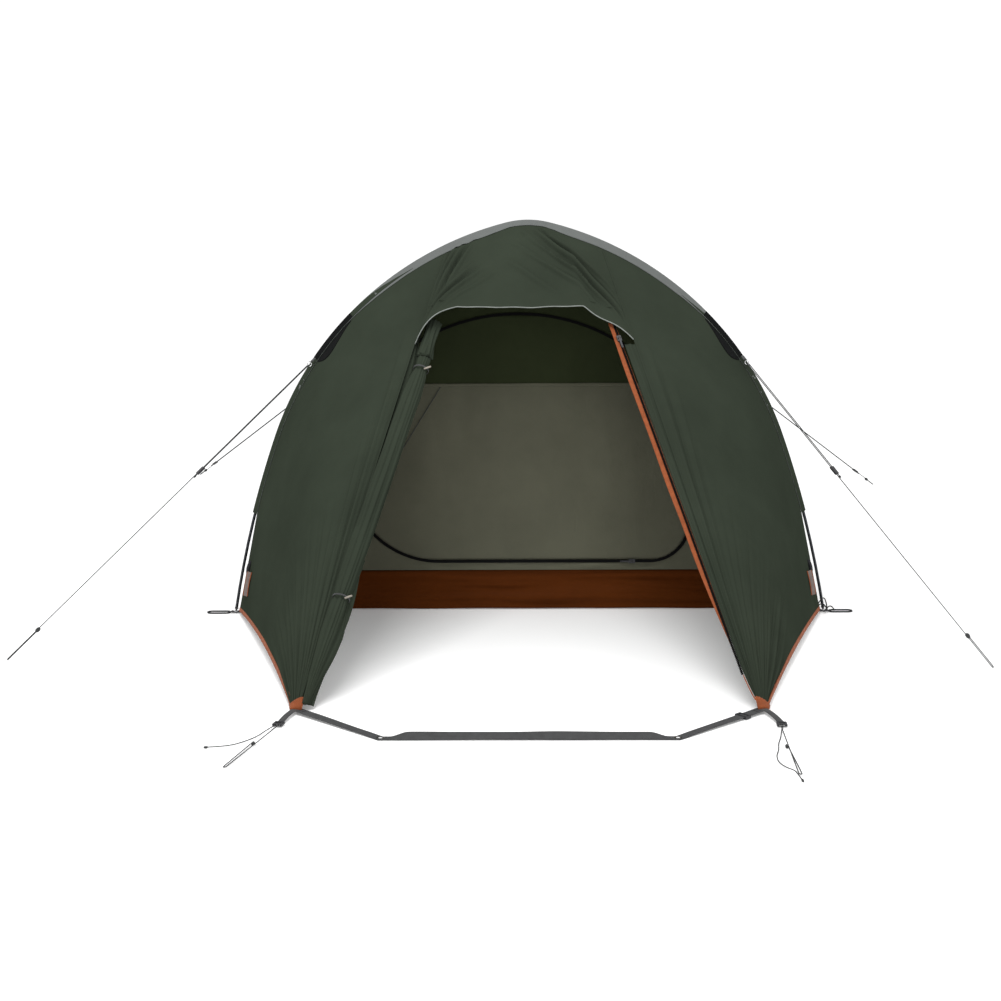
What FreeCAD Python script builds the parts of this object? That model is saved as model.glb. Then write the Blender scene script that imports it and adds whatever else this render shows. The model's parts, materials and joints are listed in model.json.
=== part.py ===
import FreeCAD, Part
import math
import os

# Two-hoop tunnel tent with a front porch, millimetres, +Z up.
# While it is drawn, Y = 0 is the plane of the front hoop, -Y is the porch and +Y the tail.
# Every node is moved by ORIGIN_SHIFT when it is written, so that the row's origin is
# the middle of the tent's footprint, on the ground.

Vec = FreeCAD.Vector
UP = Vec(0, 0, 1)

# ---- driving dimensions ------------------------------------------------------------
HOOP_HEIGHT = 1125.0                 # outside of the front hoop
HOOP_RADII = (250.0, 950.0, 3000.0)  # peak, shoulder and leg arcs
HOOP_BREAKS = (math.radians(14.0), math.radians(70.0))
REAR_SCALE = 0.93                    # rear hoop against front hoop
MIDDLE_SCALE = 0.955                 # the roof sags a little between the hoops
FRONT_Y = 0.0
REAR_Y = 1700.0
TAIL_Y = 2380.0
TAIL_HALF = 480.0
TAIL_SEAM_X = 320.0

FABRIC = 1.5                         # drawn thickness of cloth
HEM_Z = 15.0
LEG_Z = 300.0                        # where the sleeve ends
FLY_BASE_X = 838.0
FLY_INSET = 16.0                     # cloth under the sleeve, in from the hoop's outside
SLEEVE_HALF = 26.0
SLEEVE_DEPTH = 14.0

CORNER_X = 548.0
CORNER_Y = -965.0
CORNER_Z = 10.0
CORNER_HALF = 8.0
SEAM_TOP_X = {-1: 231.0, 1: 205.0}   # the opening sits a little off the middle
BROW_END_T = 0.232                   # along the front edge from the hoop to the corner
BROW_HEM_Z = 891.0
BROW_HEM_Y = -204.0
BROW_LEFT_X = -192.0
BROW_RIGHT_X = 148.0

POLE_R = 4.25
POLE_WALL = 0.6
POLE_INSET = 7.0
FERRULE_R = 3.6
SHOCK_R = 1.3
POLE_FOOT_Z = 16.0
EYELET_Z = 5.2                       # underside of the eyelet that a pole stands in
SECTIONS_PER_HOOP = 8

ZIP_ENDS = ((229.0, -205.0), (504.0, -909.0))
ZIP_TAPE = 16.0
ZIP_LIFT = 4.8
TEETH_HALF = 4.0
TEETH_DEEP = 1.4
LIP_DEPTH = 1.6
ZIP_REST = 60.0
INNER_ZIP_REST_X = 300.0

ROLL_RADII = (22.0, 31.0, 31.0, 24.0, 9.0)
ROLL_STEPS = (0.0, 0.12, 0.55, 0.82, 1.0)
ROLL_T = (0.262, 0.985)
ROLL_GAP = 6.0
ROLL_TAPER = 0.71                    # how near the bottom of the roll lies to the edge
TIE_PROUD = 2.6
TIE_STEPS = (0.035, 0.72)

STRAP_W = 25.0
STRAP_T = 1.6
STRAP_BEND = (331.0, -1157.0)
EYELET_HOLE_R = 4.75
EYELET_R = 9.5

INNER_INSET = 75.0
INNER_Y = 30.0
INNER_TAIL_Y = 2140.0
INNER_TAIL_HALF = 430.0
BATHTUB_H = 117.0
DOOR_SEAM_Z = 660.0
DOOR_BOX = (-522.0, 464.0, 145.0, 560.0, 862.0)   # left, right, sill, spring of the arch, top
DOOR_CORNERS = (262.0, 112.0)

GUY_R = 1.25
GUY_HALF_GAP = 3.2
RING_R = 7.0
RING_BAR = 1.2
RUNNER_LONG = 27.0
GUY_TOP_Z = 746.0
REAR_GUY_TOP_Z = 665.0
# Each guy: side, hoop, peg point, and where the runner and the knot sit along it.
GUYS = {
    "front_left": (-1, "front", Vec(-1366, -512, 3), 0.375, 0.905),
    "front_right": (1, "front", Vec(1180, -600, 3), 0.375, 0.905),
    "rear_left": (-1, "rear", Vec(-1440, 2478, 3), 0.905, 0.965),
    "rear_right": (1, "rear", Vec(1436, 2158, 3), 0.900, 0.962),
}

FOOT_REACH = 938.0
TAIL_LOOP_REACH = 60.0
FRONT_REACH = STRAP_BEND[1] - STRAP_W / 2
REAR_REACH = TAIL_Y + TAIL_LOOP_REACH
ORIGIN_SHIFT = Vec(0, -(FRONT_REACH + REAR_REACH) / 2, 0)

NODES = {}


# ---- small helpers -----------------------------------------------------------------
def keep(name, *solids):
    """Store one node made of one or more separate solids."""
    NODES[name] = solids[0] if len(solids) == 1 else Part.makeCompound(list(solids))


def blend(a, b, t):
    """The point a share t of the way from a to b."""
    return a + (b - a) * t


def unit(v):
    return v * (1.0 / v.Length)


def mirror_x(v):
    return Vec(-v.x, v.y, v.z)


def mirrored(shape):
    return shape.mirror(Vec(0, 0, 0), Vec(1, 0, 0))


def placed(shape, origin, x_axis, y_axis):
    """Move a shape drawn about the origin onto a frame with the given X and Y axes."""
    z_axis = x_axis.cross(y_axis)
    matrix = FreeCAD.Matrix(
        x_axis.x, y_axis.x, z_axis.x, origin.x,
        x_axis.y, y_axis.y, z_axis.y, origin.y,
        x_axis.z, y_axis.z, z_axis.z, origin.z,
        0, 0, 0, 1)
    out = shape.copy()
    out.Placement = FreeCAD.Placement(matrix)
    return out


def box(low, high):
    return Part.makeBox(high[0] - low[0], high[1] - low[1], high[2] - low[2], Vec(*low))


def strap(a, b, width, thick, normal):
    """A flat straight strap from a to b whose face looks along normal."""
    along = unit(b - a)
    side = unit(normal.cross(along)) * (width / 2)
    lift = unit(along.cross(side)) * thick
    corners = [a + side, a - side, a - side + lift, a + side + lift]
    face = Part.Face(Part.makePolygon(corners + [corners[0]]))
    return face.extrude(b - a)


def flat_plate(points, thick, normal):
    """A plate with a straight-sided outline."""
    return Part.Face(Part.makePolygon(points + [points[0]])).extrude(unit(normal) * thick)


def ruled_solid(sections):
    """A closed cloth panel: matched edges of its outer and inner face, section by section."""
    faces = []
    for (outer_a, inner_a), (outer_b, inner_b) in zip(sections, sections[1:]):
        for a, b in zip(outer_a, outer_b):
            faces.append(Part.makeRuledSurface(a, b))
        for a, b in zip(inner_a, inner_b):
            faces.append(Part.makeRuledSurface(a, b))
        for end in (0, -1):
            rims = [edges[end].Vertexes[end].Point for edges in (outer_a, outer_b, inner_a, inner_b)]
            outer_rim = Part.makeLine(rims[0], rims[1])
            inner_rim = Part.makeLine(rims[2], rims[3])
            faces.append(Part.makeRuledSurface(outer_rim, inner_rim))
    for outer, inner in (sections[0], sections[-1]):
        for a, b in zip(outer, inner):
            faces.append(Part.makeRuledSurface(a, b))
    shell = Part.Shell(faces)
    shell.sewShape()
    solid = Part.Solid(shell)
    if solid.Volume < 0:
        solid.reverse()
    return solid


def polyline_edges(points):
    return [Part.makeLine(a, b) for a, b in zip(points, points[1:])]


def route_wire(points, radii=None):
    """Straight runs joined by tangent arcs, and the radius of each arc."""
    edges = []
    used = []
    start = points[0]
    for index in range(1, len(points) - 1):
        before, corner, after = points[index - 1], points[index], points[index + 1]
        into, out = unit(corner - before), unit(after - corner)
        turn = into.getAngle(out)
        shorter = min((corner - before).Length, (after - corner).Length)
        radius = 0.45 * shorter / math.tan(turn / 2)
        if radii and index in radii:
            radius = radii[index]
        reach = radius * math.tan(turn / 2)
        first, last = corner - into * reach, corner + out * reach
        centre = corner + unit(out - into) * (radius / math.cos(turn / 2))
        middle = centre + unit(corner - centre) * radius
        edges.append(Part.makeLine(start, first))
        edges.append(Part.Arc(first, middle, last).toShape())
        used.append(round(radius, 1))
        start = last
    edges.append(Part.makeLine(start, points[-1]))
    return Part.Wire(edges), used


def cord_tube(name, points, radius, radii=None):
    """A round cord along a route; prints its arc radii and its length."""
    wire, used = route_wire(points, radii)
    into = unit(points[1] - points[0])
    circle = Part.Wire(Part.makeCircle(radius, points[0], into))
    tube = wire.makePipeShell([circle], True, False)
    share = tube.Volume / (math.pi * radius ** 2 * wire.Length)
    print(name, "length", round(wire.Length, 1), "arc radii", used, "volume share", round(share, 4))
    return tube


def turned(profile, origin, along):
    """A solid turned about an axis; profile is a list of (distance along, radius)."""
    points = [Vec(r, 0, d) for d, r in profile]
    points = [Vec(0, 0, profile[0][0])] + points + [Vec(0, 0, profile[-1][0])]
    solid = Part.Face(Part.makePolygon(points + [points[0]])).revolve(Vec(0, 0, 0), UP, 360)
    solid.Placement = FreeCAD.Placement(origin, FreeCAD.Rotation(UP, along))
    return solid


def knot(centre, along, long_half, radius):
    """A tied knot: a rounded spindle."""
    steps = [(-1.0, 0.45), (-0.6, 0.9), (0.0, 1.0), (0.6, 0.9), (1.0, 0.45)]
    return turned([(s * long_half, r * radius) for s, r in steps], centre, along)


# ---- the hoop's shape --------------------------------------------------------------
def hoop_arc(angle, scale):
    """Centre and radius of the hoop's arc at a signed angle from straight up."""
    side = -1 if angle < 0 else 1
    centre_x, centre_z, radius = 0.0, HOOP_HEIGHT - HOOP_RADII[0], HOOP_RADII[0]
    for end, following in zip(HOOP_BREAKS, HOOP_RADII[1:]):
        if abs(angle) <= end:
            break
        centre_x += (radius - following) * math.sin(end)
        centre_z += (radius - following) * math.cos(end)
        radius = following
    return Vec(side * centre_x * scale, 0, centre_z * scale), radius * scale


def hoop_point(angle, y, scale, inset, arc_at=None):
    centre, radius = hoop_arc(angle if arc_at is None else arc_at, scale)
    reach = radius - inset
    return Vec(centre.x + reach * math.sin(angle), y, centre.z + reach * math.cos(angle))


def angle_at_height(z, scale, inset):
    """The angle at which the hoop's leg is at height z."""
    centre, radius = hoop_arc(HOOP_BREAKS[1] + 0.01, scale)
    return math.acos((z - centre.z) / (radius - inset))


def shoulder_angle_at(z, scale, inset):
    """The angle at which the hoop's shoulder is at height z."""
    centre, radius = hoop_arc(HOOP_BREAKS[1], scale)
    return math.acos((z - centre.z) / (radius - inset))


def shoulder_angle_at_x(x, scale, inset):
    centre, radius = hoop_arc(HOOP_BREAKS[1], scale)
    return math.asin((x - centre.x) / (radius - inset))


def hoop_pieces(first, last):
    """Split a stretch of the hoop where its arcs meet."""
    marks = sorted([-HOOP_BREAKS[1], -HOOP_BREAKS[0], HOOP_BREAKS[0], HOOP_BREAKS[1]])
    cuts = [first] + [m for m in marks if first + 1e-6 < m < last - 1e-6] + [last]
    return list(zip(cuts, cuts[1:]))


def hoop_edges(first, last, y, scale, inset):
    edges = []
    for a, b in hoop_pieces(first, last):
        middle = (a + b) / 2
        ends = [hoop_point(t, y, scale, inset, middle) for t in (a, middle, b)]
        edges.append(Part.Arc(*ends).toShape())
    return edges


def along_hoop(first, last, y, scale, face_at):
    """Turn a cross-section along the hoop, arc by arc, into one solid."""
    solids = []
    for a, b in hoop_pieces(first, last):
        middle = (a + b) / 2
        centre = hoop_arc(middle, scale)[0]
        face = face_at(a, middle, y, scale)
        solids.append(face.revolve(Vec(centre.x, y, centre.z), Vec(0, 1, 0), math.degrees(b - a)))
    whole = solids[0]
    if len(solids) > 1:
        whole = whole.multiFuse(solids[1:]).removeSplitter()
    return whole.Solids[0] if len(whole.Solids) == 1 else whole


def round_section(radius, inset):
    """Cross-section builder for a rod inside the hoop's outline."""
    def face_at(angle, arc_at, y, scale):
        spot = hoop_point(angle, y, scale, inset, arc_at)
        along = Vec(math.cos(angle), 0, -math.sin(angle))
        return Part.Face(Part.Wire(Part.makeCircle(radius, spot, along)))
    return face_at


def outline_section(outline, hole):
    """Cross-section builder from points (along Y, out from the hoop's outside)."""
    def face_at(angle, arc_at, y, scale):
        def wire(points):
            spots = [hoop_point(angle, y + u, scale, -r, arc_at) for u, r in points]
            return Part.makePolygon(spots + [spots[0]])
        return Part.Face(wire(outline)).cut(Part.Face(wire(hole))).Faces[0]
    return face_at


def fly_edges(y, scale, inset, first=None, last=None):
    """The flysheet's edge at one hoop: straight legs below the sleeve, arcs above."""
    leg = angle_at_height(LEG_Z * scale, scale, inset)
    start = -leg if first is None else first
    end = leg if last is None else last
    edges = hoop_edges(start, end, y, scale, inset)
    foot = FLY_BASE_X * scale - (inset - FLY_INSET)
    if first is None:
        edges.insert(0, Part.makeLine(Vec(-foot, y, HEM_Z), edges[0].Vertexes[0].Point))
    if last is None:
        edges.append(Part.makeLine(edges[-1].Vertexes[-1].Point, Vec(foot, y, HEM_Z)))
    return edges


def fly_section(y, scale, first=None, last=None):
    outer = fly_edges(y, scale, FLY_INSET, first, last)
    inner = fly_edges(y, scale, FLY_INSET + FABRIC, first, last)
    return outer, inner


def split_line(a, b, count):
    return polyline_edges([blend(a, b, i / count) for i in range(count + 1)])


# ---- flysheet ----------------------------------------------------------------------
SEAM_ANGLE = {side: shoulder_angle_at_x(x, 1.0, FLY_INSET) for side, x in SEAM_TOP_X.items()}
CORNER = Vec(-CORNER_X, CORNER_Y, CORNER_Z)


def front_edge(side, t):
    """A point on the straight front edge of the porch, from the hoop down to the corner."""
    top = hoop_point(side * SEAM_ANGLE[side], -SLEEVE_HALF, 1.0, FLY_INSET)
    low = Vec(side * (CORNER_X - CORNER_HALF), CORNER_Y, CORNER_Z)
    return blend(top, low, t)


def door_out(side):
    """The outward normal of the sloping door opening on one side."""
    down = unit(front_edge(side, 1) - front_edge(side, 0))
    flat = unit(Vec(0, down.y, down.z))
    return Vec(0, flat.z, -flat.y)


def door_point(side, x, y):
    """A point of the sloping door opening."""
    top, low = front_edge(side, 0), front_edge(side, 1)
    return Vec(x, y, top.z + (low.z - top.z) * (y - top.y) / (low.y - top.y))


def porch_side(side):
    """One porch side: a cone of cloth from the hoop to the pegged corner."""
    y = -SLEEVE_HALF
    outer, inner = fly_section(y, 1.0, None, -SEAM_ANGLE[side])
    count = len(outer)
    hem_point = CORNER + Vec(-CORNER_HALF, 6, -2)
    edge_low = front_edge(-1, 1)
    inward = Vec(0.9, 1.2, 0)
    outer_corner = split_line(hem_point, edge_low, count)
    inner_corner = split_line(hem_point + inward, edge_low + inward, count)
    panel = ruled_solid([(outer, inner), (outer_corner, inner_corner)])
    return panel if side < 0 else mirrored(panel)


def brow_hem(inward):
    """The brow's hem: a riser from each front edge and a level stretch between."""
    shift = Vec(0, inward, inward * 0.6)
    left_end = front_edge(-1, BROW_END_T) + Vec(2, 0, 0)
    right_end = front_edge(1, BROW_END_T) - Vec(2, 0, 0)
    left_top = Vec(BROW_LEFT_X, BROW_HEM_Y, BROW_HEM_Z)
    right_top = Vec(BROW_RIGHT_X, BROW_HEM_Y, BROW_HEM_Z)
    left_mid = blend(left_end, left_top, 0.5) + Vec(-6, -4, 14)
    right_mid = blend(right_end, right_top, 0.5) + Vec(6, -4, 14)
    left = Part.Arc(left_end + shift, left_mid + shift, left_top + shift).toShape()
    level = Part.makeLine(left_top + shift, right_top + shift)
    right = Part.Arc(right_top + shift, right_mid + shift, right_end + shift).toShape()
    return [left, level, right]


def brow():
    gap = 0.004
    outer, inner = fly_section(-SLEEVE_HALF, 1.0, -SEAM_ANGLE[-1] + gap, SEAM_ANGLE[1] - gap)
    hem_outer = brow_hem(0.0)
    hem_inner = brow_hem(FABRIC)
    return ruled_solid([(outer, inner), (hem_outer, hem_inner)])


def brow_binding():
    """A light edging folded over the brow's hem."""
    first = [edge.Vertexes[0].Point for edge in brow_hem(0.0)]
    last = brow_hem(0.0)[-1].Vertexes[-1].Point
    drop = Vec(0, -3.4, 1.2)
    points = [p + drop for p in first + [last]]
    solids = []
    for a, b in zip(points, points[1:]):
        inset = unit(b - a) * 3.0
        solids.append(strap(a + inset, b - inset, 8.0, 1.2, Vec(0, -0.75, 0.66)))
    return solids


def fly_body():
    front = fly_section(SLEEVE_HALF, 1.0)
    middle = fly_section((FRONT_Y + REAR_Y) / 2, MIDDLE_SCALE)
    rear = fly_section(REAR_Y - SLEEVE_HALF, REAR_SCALE)
    return ruled_solid([front, middle, rear])


def fly_tail():
    """The tail: a cone of cloth to each corner and a sloping panel between."""
    y = REAR_Y + SLEEVE_HALF
    seam = shoulder_angle_at_x(TAIL_SEAM_X, REAR_SCALE, FLY_INSET)
    hoop = []
    for inset in (FLY_INSET, FLY_INSET + FABRIC):
        left = fly_edges(y, REAR_SCALE, inset, None, -seam)
        centre = hoop_edges(-seam, seam, y, REAR_SCALE, inset)
        right = fly_edges(y, REAR_SCALE, inset, seam, None)
        hoop.append((left, centre, right))
    ground = []
    for inward in (0.0, FABRIC):
        outer_l = Vec(-TAIL_HALF - 12, TAIL_Y - 10 - inward, HEM_Z)
        inner_l = Vec(-TAIL_HALF + 12, TAIL_Y - inward, HEM_Z)
        left = split_line(outer_l, inner_l, len(hoop[0][0]))
        centre = split_line(inner_l, mirror_x(inner_l), len(hoop[0][1]))
        right = split_line(mirror_x(inner_l), mirror_x(outer_l), len(hoop[0][2]))
        ground.append(left + centre + right)
    outer = hoop[0][0] + hoop[0][1] + hoop[0][2]
    inner = hoop[1][0] + hoop[1][1] + hoop[1][2]
    return ruled_solid([(outer, inner), (ground[0], ground[1])])


def sleeve(y, scale):
    """The pole sleeve: a flat-bottomed tube of cloth humped over the pole."""
    half, deep = SLEEVE_HALF, SLEEVE_DEPTH
    outline = [(-half + 0.4, -deep - 1), (-9, -3.0), (-4.5, -0.6), (0, 0), (4.5, -0.6), (9, -3.0),
               (half - 0.4, -deep - 1), (half - 0.4, -deep - 2), (-half + 0.4, -deep - 2)]
    hole = [(-17, -deep), (-7, -4.6), (-3.4, -2.0), (0, -1.6), (3.4, -2.0), (7, -4.6), (17, -deep),
            (14, -deep - 0.9), (-14, -deep - 0.9)]
    end = angle_at_height(LEG_Z * scale, scale, 0)
    return along_hoop(-end, end, y, scale, outline_section(outline, hole))


def leg_strip(y, scale):
    """The cloth behind the bare pole, from the sleeve's end down to the hem."""
    half = SLEEVE_HALF - 0.4
    edges = []
    for inset in (FLY_INSET, FLY_INSET + FABRIC):
        leg = fly_edges(y, scale, inset)[0]
        top, foot = leg.Vertexes[-1].Point, leg.Vertexes[0].Point
        if foot.z > top.z:
            top, foot = foot, top
        top = blend(top, foot, 0.012)
        edges.append((top, foot))
    corners = [edges[0][0], edges[0][1], edges[1][1], edges[1][0]]
    base = [p + Vec(0, -half, 0) for p in corners]
    return Part.Face(Part.makePolygon(base + [base[0]])).extrude(Vec(0, 2 * half, 0))


def build_fly():
    keep("fly_porch_left", porch_side(-1))
    keep("fly_porch_right", porch_side(1))
    keep("fly_brow", brow())
    keep("brow_binding", *brow_binding())
    keep("fly_body", fly_body())
    keep("fly_tail", fly_tail())
    keep("front_pole_sleeve", sleeve(FRONT_Y, 1.0))
    keep("rear_pole_sleeve", sleeve(REAR_Y, REAR_SCALE))
    strips = [leg_strip(FRONT_Y, 1.0), leg_strip(REAR_Y, REAR_SCALE)]
    keep("fly_leg_strips", *(strips + [mirrored(strip) for strip in strips]))


# ---- fly trim ----------------------------------------------------------------------
def hem_rod(a, b):
    """A straight run of piping under a hem."""
    drop = Vec(0, 0, -2.6)
    inset = unit(b - a) * 8.0
    along = b - a - inset * 2
    return Part.makeCylinder(2.2, along.Length, a + drop + inset, along)


def build_piping():
    porch = hem_rod(Vec(-FLY_BASE_X, -SLEEVE_HALF, HEM_Z), CORNER + Vec(-CORNER_HALF, 6, -2))
    middle_y = (FRONT_Y + REAR_Y) / 2
    foot_f = Vec(-FLY_BASE_X, SLEEVE_HALF, HEM_Z)
    foot_m = Vec(-FLY_BASE_X * MIDDLE_SCALE, middle_y, HEM_Z)
    foot_r = Vec(-FLY_BASE_X * REAR_SCALE, REAR_Y - SLEEVE_HALF, HEM_Z)
    foot_t = Vec(-FLY_BASE_X * REAR_SCALE, REAR_Y + SLEEVE_HALF, HEM_Z)
    tail = Vec(-TAIL_HALF - 12, TAIL_Y - 10, HEM_Z)
    runs = [porch, hem_rod(foot_f, foot_m), hem_rod(foot_m, foot_r), hem_rod(foot_t, tail)]
    back = hem_rod(Vec(-TAIL_HALF + 12, TAIL_Y, HEM_Z), Vec(TAIL_HALF - 12, TAIL_Y, HEM_Z))
    keep("hem_piping", *(runs + [mirrored(r) for r in runs] + [back]))


def corner_patch():
    """The orange reinforcement at a porch corner, in front of the cloth."""
    inner = front_edge(-1, 1) + Vec(4, -3.5, -6)
    outer = CORNER + Vec(-CORNER_HALF - 8, -3.5, -6)
    points = [outer, inner, inner + Vec(-2, 10, 34), outer + Vec(-9, 10, 34)]
    return flat_plate(points, 1.6, Vec(0, -1, 0.29))


def guy_patch(side, y_sign, y, scale, top_z):
    """A black triangle lying on the cloth beside the sleeve, where a guy pulls."""
    first = shoulder_angle_at(top_z + 118, scale, 0)
    last = shoulder_angle_at(top_z - 22, scale, 0)
    if y_sign < 0:
        target = CORNER
    else:
        target = Vec(-TAIL_HALF, TAIL_Y, HEM_Z)
    rails = []
    for reach in (0.0, 0.075):
        pair = []
        for lift in (2.4, 1.0):
            points = []
            for share in (0.0, 0.5, 1.0):
                angle = first + (last - first) * share
                hoop = hoop_point(-angle, y + y_sign * (SLEEVE_HALF + 1), scale, FLY_INSET - lift)
                points.append(blend(hoop, target, 0.004 + reach * (0.1 + 0.9 * share)))
            pair.append([Part.Arc(*points).toShape()])
        rails.append(tuple(pair))
    patch = ruled_solid(rails)
    return patch if side < 0 else mirrored(patch)


def build_patches():
    patch = corner_patch()
    keep("corner_patches", patch, mirrored(patch))
    front = [guy_patch(s, -1, FRONT_Y, 1.0, GUY_TOP_Z) for s in (-1, 1)]
    rear = [guy_patch(s, 1, REAR_Y, REAR_SCALE, REAR_GUY_TOP_Z) for s in (-1, 1)]
    keep("guy_patches", *(front + rear))


def low_spot(z, t):
    """A point on a porch side's cloth: at a height beside the hoop's leg, then part way to the corner."""
    leg_end = hoop_point(-angle_at_height(LEG_Z, 1.0, FLY_INSET), -SLEEVE_HALF, 1.0, FLY_INSET)
    foot = Vec(-FLY_BASE_X, -SLEEVE_HALF, HEM_Z)
    beside_leg = blend(foot, leg_end, (z - HEM_Z) / (LEG_Z - HEM_Z))
    return blend(beside_leg, CORNER + Vec(-CORNER_HALF, 6, -2), t)


def build_side_tags():
    """A pull tab and a plain woven tag low on each porch side."""
    outward = Vec(-0.957, -0.29, 0.12)
    lift = outward * 2.6
    tab = strap(low_spot(112, 0.045) + lift, low_spot(158, 0.045) + lift, 10.0, 1.6, outward)
    tag = strap(low_spot(62, 0.085) + lift, low_spot(138, 0.085) + lift, 16.0, 1.2, outward)
    keep("side_pull_tabs", tab, mirrored(tab))
    keep("side_woven_tags", tag, mirrored(tag))


# ---- flysheet door -----------------------------------------------------------------
ZIP_TOP, ZIP_LOW = [door_point(1, x, y) for x, y in ZIP_ENDS]
ZIP_ALONG = unit(ZIP_LOW - ZIP_TOP)
ZIP_OUT = door_out(1)
ZIP_SIDE = unit(ZIP_OUT.cross(ZIP_ALONG))


def fly_zip_flap():
    """The strip of cloth between the right front edge and the zip."""
    gap = 2.0
    top_out = front_edge(1, BROW_END_T + 0.01) - Vec(gap, 0, 0)
    low_out = front_edge(1, 0.93) - Vec(gap, 0, 0)
    top_in = blend(ZIP_TOP, ZIP_LOW, 0.08) + ZIP_SIDE * 9
    low_in = ZIP_LOW + ZIP_SIDE * 3
    outline = [top_out, low_out, low_in, top_in]
    flat = [p - ZIP_OUT * (p - ZIP_TOP).dot(ZIP_OUT) for p in outline]
    return flat_plate(flat, 1.4, ZIP_OUT)


def on_zip(shape, distance):
    """Place a shape, drawn along +Y with +Z outwards, on the fly zip."""
    origin = ZIP_TOP + ZIP_ALONG * distance + ZIP_OUT * ZIP_LIFT
    return placed(shape, origin, ZIP_ALONG.cross(ZIP_OUT), ZIP_ALONG)


def zip_slider():
    """A slider riding on a band of teeth: a channel with a bail on top."""
    body = box((-6, -9, -LIP_DEPTH), (6, 9, 2.6))
    body = body.cut(box((-TEETH_HALF - 0.5, -10, -2), (TEETH_HALF + 0.5, 10, TEETH_DEEP / 2 + 0.4)))
    body = body.fuse(box((-3.8, -1.2, 2.4), (-2.6, 1.2, 6.2)))
    body = body.fuse(box((2.6, -1.2, 2.4), (3.8, 1.2, 6.2)))
    body = body.fuse(Part.makeCylinder(0.8, 6.4, Vec(-3.2, 0, 5.2), Vec(1, 0, 0)))
    return body.removeSplitter()


def zip_puller():
    """A pull tag hanging from the bail."""
    eye = Part.makeCylinder(2.1, 3.6, Vec(-1.8, 0, 5.2), Vec(1, 0, 0))
    arm = box((-2.4, 1.4, 4.5), (2.4, 34, 6.0))
    tag = eye.fuse(arm)
    tag = tag.cut(Part.makeCylinder(1.1, 10, Vec(-5, 0, 5.2), Vec(1, 0, 0)))
    tag = tag.cut(Part.makeCylinder(1.3, 4, Vec(0, 30, 3), UP))
    return tag.removeSplitter()


def build_fly_zip():
    length = (ZIP_LOW - ZIP_TOP).Length
    under = -LIP_DEPTH - 0.5
    tape = box((-TEETH_HALF, 0, under - 0.9), (ZIP_TAPE - TEETH_HALF, length, under))
    teeth = box((-TEETH_HALF + 0.4, 0, under), (TEETH_HALF - 0.4, length, TEETH_DEEP / 2))
    keep("fly_zip_flap", fly_zip_flap())
    keep("fly_zip_tape", on_zip(tape.fuse(teeth).removeSplitter(), 0))
    keep("fly_zip_slider", on_zip(zip_slider(), ZIP_REST))
    keep("fly_zip_puller", on_zip(zip_puller(), ZIP_REST))


ROLL_TOP_EDGE = front_edge(-1, ROLL_T[0])
ROLL_LOW_EDGE = front_edge(-1, ROLL_T[1])
ROLL_ALONG = unit(ROLL_LOW_EDGE - ROLL_TOP_EDGE)
ROLL_OUT = door_out(-1)
ROLL_SIDE = unit(ROLL_OUT.cross(ROLL_ALONG))


def roll_axis():
    """The rolled door's centre line: beside the left front edge, nearer at the bottom."""
    widest = max(ROLL_RADII) + TIE_PROUD + ROLL_GAP
    top = ROLL_TOP_EDGE + ROLL_SIDE * widest
    low = ROLL_LOW_EDGE + ROLL_SIDE * (widest * ROLL_TAPER)
    return top, low


def build_door_roll():
    top, low = roll_axis()
    length = (low - top).Length
    along = unit(low - top)
    profile = [(s * length, r) for s, r in zip(ROLL_STEPS, ROLL_RADII)]
    keep("door_roll", turned(profile, top, along))
    ties = []
    toggles = []
    for step in TIE_STEPS:
        place = blend(top, low, step)
        radius = roll_radius(step)
        band = Part.makeCylinder(radius + TIE_PROUD, 9, place - along * 4.5, along)
        band = band.cut(Part.makeCylinder(radius + 1.6, 12, place - along * 6, along))
        ties.append(band)
        front = place + ROLL_OUT * (radius + 7.0)
        toggles.append(Part.makeCylinder(3.6, 30, front - ROLL_SIDE * 15, ROLL_SIDE))
    keep("door_roll_ties", *ties)
    keep("door_roll_toggles", *toggles)


def roll_radius(step):
    """The largest radius of the rolled door within a tie's width of a step."""
    reach = 0.012
    best = 0.0
    for s in (step - reach, step, step + reach):
        for (s0, r0), (s1, r1) in zip(zip(ROLL_STEPS, ROLL_RADII), zip(ROLL_STEPS[1:], ROLL_RADII[1:])):
            if s0 <= s <= s1:
                best = max(best, r0 + (r1 - r0) * (s - s0) / (s1 - s0))
    return best


# ---- poles -------------------------------------------------------------------------
def pole_sections(y, scale):
    """The hoop's tube sections, a hair apart, each over a ferrule of its neighbour."""
    end = angle_at_height(POLE_FOOT_Z, scale, POLE_INSET)
    joints = [-end + 2 * end * i / SECTIONS_PER_HOOP for i in range(SECTIONS_PER_HOOP + 1)]
    gap = 0.0004
    tubes = []
    for a, b in zip(joints, joints[1:]):
        outer = along_hoop(a + gap, b - gap, y, scale, round_section(POLE_R, POLE_INSET))
        inner = along_hoop(a + gap, b - gap, y, scale, round_section(POLE_R - POLE_WALL, POLE_INSET))
        tubes.append(outer.cut(inner))
    return tubes, joints


def ferrules(joints, y, scale):
    """Short inner tubes bridging the joints between sections."""
    out = []
    for angle in joints[1:-1]:
        radius = hoop_arc(angle, scale)[1]
        half = 38.0 / radius
        outer = along_hoop(angle - half, angle + half, y, scale, round_section(FERRULE_R - 0.05, POLE_INSET))
        inner = along_hoop(angle - half, angle + half, y, scale, round_section(FERRULE_R - 0.9, POLE_INSET))
        out.append(outer.cut(inner))
    return out


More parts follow.
